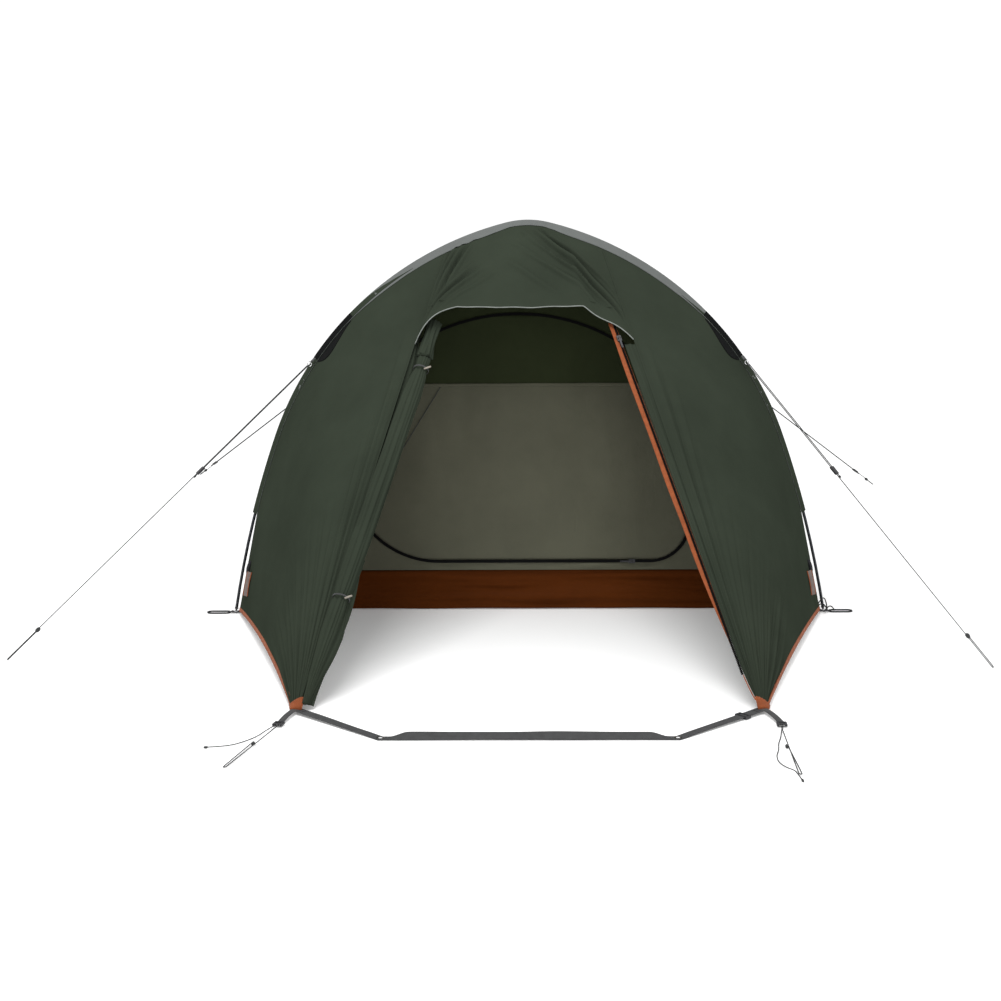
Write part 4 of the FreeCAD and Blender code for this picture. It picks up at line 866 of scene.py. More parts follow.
def make_guy_patches():
    """Black triangles where the guys pull, one each side of both hoops, and laps over the front sleeve."""
    rows, cols, lift = 9, 15, 0.0018
    raised = np.full((rows, cols), lift)
    grids = []
    for side, sheet in ((-1, SHEETS["left"]), (1, SHEETS["right"])):
        span = SEAM_SHARE[-1] if side < 0 else 1 - SEAM_SHARE[1]
        high, low = (arc_share(LINE_F, z) / span for z in (0.852, 0.738))
        spots = np.zeros((rows, cols, 3))
        for j in range(rows):
            for i in range(cols):
                s = i / (cols - 1)
                v = 0.003 + (0.004 + 0.032 * math.sin(math.pi * s ** 1.4)) * j / (rows - 1)
                down = np.interp(v, FRONT_STEPS, np.linspace(0, 1, SIDE_ROWS))
                spots[j, i] = sampled(sheet, high + (low - high) * s, down)
        grids.append(pushed(spots, raised, -side))
    tail = SHEETS["main"][3 + BODY_ROWS:]
    line = fly_line(REAR_Y + SLEEVE_HALF, REAR_SCALE)
    high, low = arc_share(line, 0.783), arc_share(line, 0.643)
    for side in (-1, 1):
        spots = np.zeros((rows, cols, 3))
        for j in range(rows):
            for i in range(cols):
                s = i / (cols - 1)
                share = high + (low - high) * s
                share = share if side < 0 else 1 - share
                across = np.interp(share, COLUMNS, np.linspace(0, 1, len(COLUMNS)))
                spots[j, i] = sampled(tail, across, 0.02 + 0.075 * (0.1 + 0.9 * s) * j / (rows - 1))
        grids.append(pushed(spots, raised, side))
    spots = [resample(LINE_F, [arc_share(LINE_F, z)])[0] for z in np.linspace(0.858, 0.738, cols)]
    outs = [unit((p[0], 0, p[2] - 0.42)) for p in spots]
    for side in (-1, 1):
        flip = vec(-side, 1, 1)
        grids.append(np.array([[p * flip + o * flip * (sleeve_drop(dy) + 0.0026 + FLY_INSET)
                                + vec(0, dy + SLEEVE_HALF, 0) for p, o in zip(spots, outs)]
                               for dy in np.linspace(-0.0266, -0.0075, rows)]))
    piece = grid_piece("guy_pull_patches", grids, "tent", "patch_black", 0.0008, 0, joined=False)
    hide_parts("guy_patches")


def make_corner_patches():
    """Orange reinforcements folded round the two pegged porch corners."""
    for side, sheet in ((-1, SHEETS["left"]), (1, SHEETS["right"])):
        name = "corner_reinforcement_" + SIDE_NAMES[side]
        rows = sheet[-5:, :]
        grid = pushed(rows, np.full(rows.shape[:2], 0.0030), side)
        spread = np.linspace(0.005, -0.007, SIDE_COLS)
        grid[:, :, 0] += side * spread[None, :] * np.linspace(0.3, 1, 5)[:, None]
        grid[-1] += vec(0, -0.002, -0.004)
        piece = grid_piece(name, grid, "tent", "trim_orange", 0.001, 0)
        if side > 0:
            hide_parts("corner_patches")


def low_spot(side, z, t):
    """A point on a porch side's cloth: at a height beside the hoop's leg, then part way to the corner."""
    y = FRONT_Y - SLEEVE_HALF
    x, top = hoop_point(leg_angle(LEG_Z, 1.0, FLY_INSET), 1.0, FLY_INSET)
    s = (z - HEM_Z) / (top - HEM_Z)
    beside_leg = vec(FLY_BASE_X * (1 - s) + x * s, y, z)
    corner = vec(CORNER.x + CORNER_HALF, CORNER.y + 0.006, CORNER.z - 0.002)
    return (beside_leg * (1 - t) + corner * t) * vec(side, 1, 1)


def make_side_tags():
    """A pull tab and a plain woven tag with an orange edge, low on each porch side."""
    rings_tab, rings_tag, rings_edge = [], [], []
    steps = np.linspace(0, 1, 24)
    for side in (-1, 1):
        out = unit((side * 0.58, -0.80, 0.12))
        curl = [math.sin(math.pi * s) for s in steps]
        loop = [low_spot(side, 0.130 + 0.046 * s, 0.045) + out * (0.0035 + 0.006 * c)
                for s, c in zip(steps, curl)]
        back = [p - out * (0.0010 + 0.004 * c) for p, c in zip(loop, curl)]
        rings_tab += [swept(line, out, band_section(0.010, 0.0015)) for line in (loop, back)]
        tag = [low_spot(side, 0.082 + 0.076 * s, 0.085) + out * (0.0085 + 0.002 * c)
               for s, c in zip(steps, curl)]
        across = unit(np.cross((0, 0, 1), out))
        rings_tag.append(swept(tag, out, band_section(0.014, 0.0013)))
        for way in (-1, 1):
            edge = [p + across * 0.0078 * way for p in tag]
            rings_edge.append(swept(edge, out, band_section(0.0030, 0.0019)))
    tabs = solid_piece("pull_tab_loops", rings_tab, "tent", "webbing_black")
    tags = solid_piece("plain_woven_tags", rings_tag, "tent", "tag_grey")
    solid_piece("woven_tag_edges", rings_edge, "tent", "trim_orange")
    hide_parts("side_pull_tabs")
    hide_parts("side_woven_tags")


# ---- flysheet door ---------------------------------------------------------------------
def door_out(side):
    run = front_edge(side, 1) - front_edge(side, 0)
    flat = unit((0, run.y, run.z))
    return vec(0, flat[2], -flat[1])


def door_point(side, x, y):
    top, low = front_edge(side, 0), front_edge(side, 1)
    return vec(x, y, top.z + (low.z - top.z) * (y - top.y) / (low.y - top.y))


ZIP_TOP = door_point(1, 0.229, FRONT_Y - 0.205)
ZIP_LOW = door_point(1, 0.504, FRONT_Y - 0.909)
ZIP_ALONG = unit(ZIP_LOW - ZIP_TOP)
ZIP_OUT = door_out(1)
ZIP_SIDE = unit(np.cross(ZIP_OUT, ZIP_ALONG))
ZIP_LENGTH = float(np.linalg.norm(ZIP_LOW - ZIP_TOP))


def zip_line(t):
    """The zip's centre, straight down to its stop and then into the porch corner."""
    run = ZIP_LENGTH + 0.070
    straight = ZIP_TOP + ZIP_ALONG * run * t
    corner = np.array(front_edge(1, 0.985)) - ZIP_SIDE * 0.004
    turn = float(smooth_step(t, 0.90, 1.0))
    return straight * (1 - turn) + corner * turn


def make_fly_zip():
    """Orange tape with a black coil, and the rain flap between it and the porch side."""
    rows, cols = 240, 7
    grid = np.zeros((rows, cols, 3))
    for r in range(rows):
        t = r / (rows - 1)
        centre = zip_line(t)
        wide = 0.0145 * (1 - 0.84 * float(smooth_step(t, 0.62, 0.90)))
        for c in range(cols):
            s = c / (cols - 1)
            free = s * s
            lift = 0.0022 + free * 0.0022 * math.sin(13 * t + 0.6) + free * 0.0008 * math.sin(37 * t)
            start = 0.004 * (1 - 0.8 * float(smooth_step(t, 0.80, 0.92)))
            side = start - (start + wide) * s + free * 0.0009 * math.sin(21 * t + 1.2)
            grid[r, c] = centre + ZIP_SIDE * side + ZIP_OUT * lift
    tape = grid_piece("fly_zip_tape_cloth", grid, "tent", "trim_orange", 0.0007, 0)
    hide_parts("fly_zip_tape")
    points, faces = [], []
    count = int(ZIP_LENGTH / 0.0021)
    for k in range(count):
        lean = 0.0006 if k % 2 else -0.0006
        middle = ZIP_TOP + ZIP_ALONG * ((k + 0.5) * 0.0021) + ZIP_OUT * 0.0041 + ZIP_SIDE * lean
        start = len(points)
        for a in (-0.0030, 0.0030):
            for b in (-0.0007, 0.0007):
                for c in (-0.0013, 0.0013):
                    taper = 0.7 if c > 0 else 1.0
                    points.append(middle + ZIP_SIDE * a * taper + ZIP_ALONG * b + ZIP_OUT * c)
        corners = ((0, 1, 3, 2), (4, 6, 7, 5), (0, 4, 5, 1), (2, 3, 7, 6), (0, 2, 6, 4), (1, 5, 7, 3))
        faces += [tuple(start + i for i in face) for face in corners]
    uvs = np.zeros((len(points), 2))
    new_mesh("fly_zip_coil", points, faces, uvs, "tent", "zip_black", False)
    rows, cols = 150, 17
    grid = np.zeros((rows, cols, 3))
    for r in range(rows):
        t = r / (rows - 1)
        edge = np.array(front_edge(1, BROW_END + 0.01 + (0.985 - BROW_END - 0.01) * t))
        edge = edge + vec(0.007 * (1 - t), 0, 0) - ZIP_OUT * 0.0035
        inner = zip_line(0.07 + 0.93 * t) + ZIP_SIDE * (0.009 - 0.007 * t)
        for c in range(cols):
            s = c / (cols - 1)
            lift = 0.0042 * math.sin(math.pi * s) * (0.7 + 0.3 * math.sin(5 * t))
            ripple = math.sin(2 * math.pi * (2.1 * s + 0.35 * math.sin(3.1 * t)))
            lift += 0.0018 * ripple * math.sin(math.pi * s)
            lift += 0.0030 * s ** 3
            grid[r, c] = edge * (1 - s) + inner * s + ZIP_OUT * lift
    flap = grid_piece("zip_rain_flap", grid, "tent", "fly_green", 0.0009, 0)
    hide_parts("fly_zip_flap")
    return flap


ROLL_RADII = (0.022, 0.031, 0.031, 0.024, 0.0065)
ROLL_STEPS = (0.0, 0.12, 0.55, 0.82, 1.0)
ROLL_GROOVES = ((66, 0.11, 0.20), (38, 0.09, 0.17), (112, 0.10, 0.16), (14, 0.10, 0.12))
TIE_STEPS = (0.035, 0.72)
ROLL_OUT = door_out(-1)
ROLL_ENDS = [np.array(front_edge(-1, t)) for t in (0.262, 0.990)]
ROLL_SIDE = unit(np.cross(ROLL_OUT, ROLL_ENDS[1] - ROLL_ENDS[0]))
ROLL_AXIS = (ROLL_ENDS[0] + ROLL_SIDE * 0.0380, ROLL_ENDS[1] + ROLL_SIDE * 0.0100)


def make_door_roll():
    """The door rolled up along the left front edge, its folds pinched by two ties."""
    rows, cols = 200, 56
    rings = []
    for r in range(rows):
        s = r / (rows - 1)
        centre = ROLL_AXIS[0] * (1 - s) + ROLL_AXIS[1] * s
        radius = roll_reach(s)
        for tie in TIE_STEPS:
            radius *= 1 - 0.16 * math.exp(-((s - tie) / 0.018) ** 2)
        lap = math.radians(128) + 0.30 * math.sin(4.2 * s) + 0.2 * s
        ring = []
        for c in range(cols):
            a = 2 * math.pi * c / cols
            turned = ((a - lap) % (2 * math.pi)) / (2 * math.pi)
            fold = 0.93 + 0.045 * math.sin(2 * a + 2.4 * s) + 0.030 * math.sin(3 * a - 4.1 * s + 1.0)
            fold += 0.020 * math.sin(7 * a + 5 * math.sin(2.3 * s))
            for angle, width, deep in ROLL_GROOVES:
                centre_a = math.radians(angle + 7 * math.sin(4 * s + angle))
                fold -= deep * math.exp(-((a - centre_a) / width) ** 2)
            reach = radius * fold - 0.0045 * turned * min(1.0, radius / 0.02)
            reach += 0.0014 * noise.noise(Vector((math.cos(a) * 2.2, math.sin(a) * 2.2, s * 7)))
            ring.append(centre + ROLL_SIDE * math.cos(a) * reach + ROLL_OUT * math.sin(a) * reach)
        rings.append(ring)
    roll = solid_piece("rolled_door", [np.array(rings)], "door_roll", "fly_green")
    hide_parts("door_roll")
    rows, cols = 90, 22
    grid = np.zeros((rows, cols, 3))
    for r in range(rows):
        t = r / (rows - 1)
        s = 0.60 + 0.395 * t
        centre = ROLL_AXIS[0] * (1 - s) + ROLL_AXIS[1] * s
        radius = float(np.interp(s, ROLL_STEPS, ROLL_RADII))
        wide = 0.004 + 0.015 * float(smooth_step(t, 0.28, 0.55)) * (1 - 0.80 * float(smooth_step(t, 0.62, 1)))
        for c in range(cols):
            k = c / (cols - 1)
            ripple = 0.0028 * math.sin(2 * math.pi * (1.6 * k + 0.8 * t)) * k
            grid[r, c] = (centre + ROLL_SIDE * (radius * 0.55 + wide * k)
                          - ROLL_OUT * (radius * 0.30 + 0.010 * k - ripple))
    grid_piece("door_loose_edge", grid, "door_roll", "fly_green", 0.0009, 0)


def roll_reach(s):
    return 0.90 * float(np.interp(s, ROLL_STEPS, ROLL_RADII))


def make_door_ties():
    """Two thin loops round the rolled door, each closed by a small slanting toggle."""
    loops, toggles = [], []
    along = unit(ROLL_AXIS[1] - ROLL_AXIS[0])
    for s in TIE_STEPS:
        centre = ROLL_AXIS[0] * (1 - s) + ROLL_AXIS[1] * s
        reach = roll_reach(s) * 0.84 + 0.0016
        turns = np.linspace(0, 2 * math.pi, 40, endpoint=False)
        outs = [ROLL_SIDE * math.cos(a) + ROLL_OUT * math.sin(a) for a in turns]
        ring = np.array([[centre + o * (reach + b) + along * a for a, b in band_section(0.0045, 0.0014)]
                         for o in outs])
        loops.append(ring)
        spot = centre + (ROLL_SIDE * 0.78 + ROLL_OUT * 0.62) * (reach + 0.0035)
        lie = unit(ROLL_SIDE * 0.9 + ROLL_OUT * 0.1 - along * 0.55)
        lengthwise = [spot + lie * t for t in (-0.010, -0.0094, -0.006, 0.006, 0.0094, 0.010)]
        across, other = unit(np.cross(lie, ROLL_OUT)), unit(np.cross(lie, np.cross(lie, ROLL_OUT)))
        sizes = (0.0012, 0.0022, 0.0025, 0.0025, 0.0022, 0.0012)
        toggles.append(np.array([[p + (across * math.cos(a) + other * math.sin(a)) * size
                                  for a in np.linspace(0, 2 * math.pi, 14, endpoint=False)]
                                 for p, size in zip(lengthwise, sizes)]))
    ties = solid_piece("rolled_door_ties", loops, "door_roll", "webbing_grey", True)
    pegs = solid_piece("rolled_door_toggles", toggles, "door_roll", "toggle_grey")
    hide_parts("door_roll_ties")
    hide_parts("door_roll_toggles")


def make_door_seam_cloth():
    """The door's cloth between its seam and the roll, and its gathered head under the brow."""
    rows, cols = 200, 15
    grid = np.zeros((rows, cols, 3))
    for r in range(rows):
        t = 0.16 + 0.825 * r / (rows - 1)
        edge = np.array(front_edge(-1, t)) - ROLL_OUT * 0.004 - ROLL_SIDE * 0.004
        narrowed = 1 - 0.90 * float(smooth_step(t, 0.80, 0.975))
        wide = 0.030 + 0.022 * float(smooth_step(t, 0.62, 0.80)) * narrowed
        wide *= 0.25 + 0.75 * float(smooth_step(t, 0.20, 0.30))
        for c in range(cols):
            k = c / (cols - 1)
            fold = 0.0030 * math.sin(2 * math.pi * (1.4 * k + 0.5 * t)) * math.sin(math.pi * k)
            grid[r, c] = edge + ROLL_SIDE * wide * k - ROLL_OUT * (0.004 + 0.012 * k + fold)
    cloth_piece = grid_piece("door_seam_cloth", grid, "tent", "fly_green", 0.0009, 0)
    rings = []
    for s in np.linspace(0, 1, 60):
        t = 0.170 + 0.088 * s
        centre = np.array(front_edge(-1, t)) + ROLL_SIDE * (0.030 + 0.006 * s) - ROLL_OUT * (0.012 * (1 - s))
        ring = []
        for a in np.linspace(0, 2 * math.pi, 48, endpoint=False):
            reach = 0.020 - 0.004 * math.sin(math.pi * s) + 0.0024 * math.sin(6 * a + 2 * s)
            reach += 0.0020 * math.sin(11 * a - 3 * s) - 0.0035 * math.exp(-((a - 1.3) / 0.16) ** 2)
            ring.append(centre + ROLL_SIDE * math.cos(a) * reach + ROLL_OUT * math.sin(a) * reach)
        rings.append(ring)
    solid_piece("door_head_gather", [np.array(rings)], "tent", "fly_green")
    return cloth_piece


def make_foot_elastics():
    """Elastic loops and a tension strap between the right front hem and its pole foot."""
    def bow(a, b, lift, count=24):
        a, b = np.array(a, float), np.array(b, float)
        return [a * (1 - t) + b * t + vec(0.15 * lift, 0, lift) * math.sin(math.pi * t)
                for t in np.linspace(0, 1, count)]
    x, y = 0.838, FRONT_Y
    lines = [bow((x - 0.010, y - 0.030, 0.020), (x + 0.026, y - 0.006, 0.008), 0.030),
             bow((x - 0.016, y - 0.034, 0.014), (x + 0.026, y - 0.012, 0.006), 0.018),
             bow((x + 0.012, y - 0.028, 0.006), (x + 0.046, y - 0.008, 0.006), 0.014)]
    turns = np.linspace(0, 2 * math.pi, 9)[:-1]
    round_section = [(0.0017 * math.cos(a), 0.0017 * math.sin(a)) for a in turns]
    rings = [swept(line, (0, -1, 0), round_section) for line in lines]
    solid_piece("foot_elastic_loops", rings, "tent", "elastic_black")


def make_corner_webs():
    """Webbing from each porch corner to its cord buckle."""
    rings = []
    for side, buckle, peg in ((-1, (0.573, -1.066), (0.645, -1.352)), (1, (0.574, -1.072), (0.564, -1.398))):
        start = vec(side * 0.549, FRONT_Y - 0.966, 0.008)
        end = vec(side * buckle[0], FRONT_Y + buckle[1], 0.005)
        run = unit(vec(side * (peg[0] - buckle[0]), peg[1] - buckle[1], 0))
        end = end - run * 0.013
        line = [start * (1 - t) + end * t + vec(0, 0, 0.003 * math.sin(math.pi * t))
                for t in np.linspace(0, 1, 24)]
        rings.append(swept(line, (0, 0, 1), band_section(0.016, 0.0022)))
    webs = solid_piece("corner_webs", rings, "tent", "webbing_grey")
    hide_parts("corner_webbing")


# ---- inner tent ------------------------------------------------------------------------
def door_half_width(z, grow):
    """(left x, right x) of the inner door at a height."""
    left, right, sill, spring, top = DOOR
    left, right, sill, top = left - grow, right + grow, sill - grow, top + grow
    if z <= spring:
        ends = []
        for x, corner, way in ((left, DOOR_CORNERS[0] + grow, 1), (right, DOOR_CORNERS[1] + grow, -1)):
            up = max(0.0, sill + corner - z)
            ends.append(x + way * (corner - math.sqrt(max(0.0, corner ** 2 - up ** 2))))
        return ends
    half, rise = (right - left) / 2, top - spring
    radius = (half ** 2 + rise ** 2) / (2 * rise)
    reach = math.sqrt(max(0.0, radius ** 2 - (z - top + radius) ** 2))
    middle = (left + right) / 2
    return middle - reach, middle + reach


def door_loop(grow):
    """The inner door's outline, closed, as (x, z)."""
    sill, top = DOOR[2], DOOR[4]
    heights = np.concatenate([sill - grow + 0.262 * (1 - np.cos(np.linspace(0, math.pi / 2, 60))),
                              np.linspace(sill + 0.27, top + grow, 120)])
    heights = np.concatenate([heights[:-1], top + grow - (heights[-1] - heights[-12]) *
                              np.linspace(0.1, 0, 12) ** 2])
    heights = np.unique(np.clip(heights, sill - grow, top + grow - 1e-6))
    sides = np.array([door_half_width(z, grow) for z in heights])
    right_side = np.stack([sides[:, 1], heights], axis=1)
    left_side = np.stack([sides[:, 0], heights], axis=1)[::-1]
    return np.vstack([right_side, left_side])


def polar(points, centre, count):
    """A closed outline sampled at even directions from a centre."""
    points = np.asarray(points)
    angles = np.unwrap(np.arctan2(points[:, 1] - centre[1], points[:, 0] - centre[0]))
    order = np.argsort(angles)
    turn = np.linspace(-math.pi, math.pi, count, endpoint=False)
    wrapped = np.concatenate([angles[order] - 2 * math.pi, angles[order], angles[order] + 2 * math.pi])
    tiled = np.tile(points[order], (3, 1))
    return np.stack([np.interp(turn, wrapped, tiled[:, k]) for k in range(2)], axis=1)


def make_front_wall():
    """The inner tent's front wall, with the door's hole in it."""
    centre = ((DOOR[0] + DOOR[1]) / 2, 0.48)
    inset = INNER_INSET + 0.002
    leg = leg_angle(WALL_FOOT, 1.0, inset)
    outer = [hoop_point(a, 1.0, inset) for a in np.linspace(leg, -leg, 700)]
    base = [(x, WALL_FOOT) for x in np.linspace(outer[-1][0], outer[0][0], 300)][1:-1]
    rows, cols = 26, 420
    outer, hole = polar(outer + base, centre, cols), polar(door_loop(0.003), centre, cols)
    grid = np.zeros((rows, cols, 3))
    for r in range(rows):
        t = r / (rows - 1)
        ring = hole * (1 - t) + outer * t
        swell = math.sin(math.pi * t)
        depth = [swell * (0.006 * noise.noise(Vector((x * 6, z * 3.2, 0.3))) +
                          0.003 * noise.noise(Vector((x * 19, z * 8, 2.0)))) for x, z in ring]
        grid[r] = np.stack([ring[:, 0], INNER_Y + np.array(depth), ring[:, 1]], axis=1)
    pieces = []
    for name, slot, upper in (("inner_front_wall_cloth", "inner_olive", False),
                              ("inner_front_netting", "inner_mesh", True)):
        piece = grid_piece(name, grid, "tent", slot, 0, 0, True)
        keep_above(piece.data, DOOR_SEAM_Z, upper)
        solidify(piece, 0.0007, 0)
        pieces.append(piece)
    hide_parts("inner_front_wall")
    return pieces


def keep_above(mesh, z, upper):
    """Cut a mesh at a height and keep one half."""
    work = bmesh.new()
    work.from_mesh(mesh)
    parts = work.verts[:] + work.edges[:] + work.faces[:]
    bmesh.ops.bisect_plane(work, geom=parts, plane_co=(0, 0, z), plane_no=(0, 0, 1),
                           clear_inner=upper, clear_outer=not upper)
    work.to_mesh(mesh)
    work.free()


def door_grid(low, high, rows, cols):
    grid = np.zeros((rows, cols, 3))
    for r in range(rows):
        t = r / (rows - 1)
        z = low + (high - low) * t
        left, right = door_half_width(min(max(z, DOOR[2] + 0.0035), DOOR[4] - 0.0035), -0.003)
        for c in range(cols):
            s = c / (cols - 1)
            x = left + (right - left) * s
            swell = math.sin(math.pi * s) ** 0.5 * float(smooth_step(z, DOOR[2], DOOR[2] + 0.06))
            swell *= 1 - float(smooth_step(z, DOOR[4] - 0.06, DOOR[4]))
            depth = 0.006 * noise.noise(Vector((x * 5, z * 2.4, 4.0)))
            depth += 0.0024 * noise.noise(Vector((x * 21, z * 6, 7.0)))
            depth += 0.0022 * math.sin(x * 34 + 2.5 * math.sin(z * 4)) * float(smooth_step(z, 0.20, 0.45))
            grid[r, c] = (x, INNER_Y + 0.0008 + swell * depth, z)
    return grid


def make_inner_door():
    panel = grid_piece("inner_door_cloth", door_grid(DOOR[2] + 0.004, DOOR_SEAM_Z, 70, 90), "inner_door",
                       "inner_olive", 0.0007, 0)
    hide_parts("inner_door_panel")
    net = grid_piece("inner_door_netting", door_grid(DOOR_SEAM_Z, DOOR[4] - 0.004, 30, 90), "inner_door",
                     "inner_mesh", 0.0005, 0)
    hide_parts("inner_door_mesh")
    top = door_grid(DOOR[2] + 0.004, DOOR_SEAM_Z, 2, 90)[-1, 2:-2] - vec(0, 0.0016, 0)
    bands = [swept(top, (0, -1, 0), band_section(0.009, 0.0012))]
    solid_piece("inner_door_seam", bands, "inner_door", "inner_olive")
    points = [(-0.250 - 0.150 * t, INNER_Y - 0.0062 - 0.002 * math.sin(math.pi * t), 0.655 - 0.240 * t)
              for t in np.linspace(0, 1, 40)]
    cord = [swept(points, (0, -1, 0), band_section(0.0022, 0.0018))]
    solid_piece("inner_door_tie_cord", cord, "inner_door", "cord_dark")
    return panel, net


def make_canopy():
    """The inner canopy, slack between its hangers."""
    cols = 150
    shares = np.linspace(0, 1, cols)
    front = resample(arch(INNER_Y + 0.003, 1.0, INNER_INSET, WALL_FOOT), shares)
    rear = resample(arch(INNER_REAR_Y, REAR_SCALE, INNER_INSET, WALL_FOOT), shares)
    right = [(0.15, 0.262), (INNER_TAIL_HALF, 0.205), (INNER_TAIL_HALF, WALL_FOOT)]
    tail = [(-x, INNER_TAIL_Y, z) for x, z in reversed(right)] + [(x, INNER_TAIL_Y, z) for x, z in right]
    tail = resample(tail, shares)
    grid = np.concatenate([between(front, rear, np.linspace(0, 1, 56)),
                           between(rear, tail, np.linspace(0, 1, 34))[1:]])
    u = shares[None, :] * np.ones((grid.shape[0], 1))
    v = np.linspace(0, 1, grid.shape[0])[:, None] * np.ones((1, cols))
    rim = smooth_step(np.minimum(u, 1 - u), 0, 0.06) * smooth_step(np.minimum(v, 1 - v), 0, 0.05)
    slack = lumps(grid, 3.0, 0.016) + lumps(grid, 8.0, 0.005) - 0.010 * np.abs(np.sin(math.pi * 5 * u))
    grid = pushed(grid, slack * rim, 1.0)
    canopy = grid_piece("inner_canopy_cloth", grid, "tent", "inner_olive", 0.0007, 0)
    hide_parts("inner_canopy")
    base = np.stack([tail[:, 0], tail[:, 1], np.full(cols, WALL_FOOT)], axis=1)
    end = between(tail, base, np.linspace(0, 1, 8))
    wall = grid_piece("inner_foot_wall", end, "tent", "inner_olive", 0.0007, 0)
    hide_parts("inner_rear_wall")
    return canopy, wall


def close_hole(mesh, middle):
    """Fill the small hole that rings leave round a point."""
    work = bmesh.new()
    work.from_mesh(mesh)
    rim = [e for e in work.edges if e.is_boundary and (e.verts[0].co - middle).length < 0.1]
    bmesh.ops.holes_fill(work, edges=rim)
    work.to_mesh(mesh)
    work.free()


def tray_outline():
    end = leg_angle(TRAY_H, 1.0, INNER_INSET)
    front, rear = (hoop_point(end, scale, INNER_INSET)[0] for scale in (1.0, REAR_SCALE))
    right = [(front, INNER_Y), (rear, INNER_REAR_Y), (INNER_TAIL_HALF, INNER_TAIL_Y)]
    points = right + [(-x, y) for x, y in reversed(right)]
    rounded = []
    for k, p in enumerate(points):
        p, before, after = (np.array(q, float) for q in (p, points[k - 1], points[(k + 1) % len(points)]))
        for t in np.linspace(0, 1, 9):
            a = p + unit(before - p) * 0.02
            b = p + unit(after - p) * 0.02
            rounded.append((1 - t) ** 2 * a + 2 * t * (1 - t) * p + t * t * b)
    loop = np.vstack([rounded, rounded[:1]])
    loop = np.hstack([loop, np.zeros((len(loop), 1))])
    return resample(loop, np.linspace(0, 1, 560, endpoint=False))


def make_tray():
    """The groundsheet: a floor with soft turned-up walls."""
    loop = tray_outline()
    middle = vec(0, (INNER_Y + INNER_TAIL_Y) / 2, 0)
    inward = np.roll(loop, -1, axis=0) - np.roll(loop, 1, axis=0)
    inward = np.stack([-inward[:, 1], inward[:, 0], np.zeros(len(loop))], axis=1)
    inward /= np.linalg.norm(inward, axis=1, keepdims=True)
    if ((middle - loop[0]) * inward[0]).sum() < 0:
        inward = -inward
    run = lengths(loop)
    rows = []
    for z in np.linspace(TRAY_H, 0.004, 22):
        t = 1 - z / TRAY_H
        fold = [math.sin(math.pi * t) ** 0.6 * (0.013 * noise.noise(Vector((s * 2.2, z * 42, 0))) +
                0.007 * noise.noise(Vector((s * 6.0, z * 85, 3.0)))) for s in run]
        lean = 0.006 + 0.004 * (1 - t) * np.array([noise.noise(Vector((s * 4, 0, 9.0))) + 0.5 for s in run])
        rows.append(loop + inward * (np.array(fold) + lean)[:, None] + vec(0, 0, z))
    rim = loop + inward * 0.008
    for t in np.linspace(0, 0.985, 30):
        ring = rim * (1 - t) + middle * t
        lift = [0.0015 + 0.0025 * (0.5 + noise.noise(Vector((p[0] * 5, p[1] * 5, 0)))) for p in ring]
        rows.append(np.stack([ring[:, 0], ring[:, 1], lift], axis=1))
    tray = grid_piece("groundsheet_tray", np.array(rows), "tent", "bathtub_brown",
                      0.0009, 0, True)
    close_hole(tray.data, Vector(middle))
    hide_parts("bathtub_floor")
    return tray


# ---- porch strap -----------------------------------------------------------------------
STRAP_TURN = vec(0.331, FRONT_Y - 1.157, 0)
STRAP_END = vec(0.546, FRONT_Y - 0.962, 0.006)


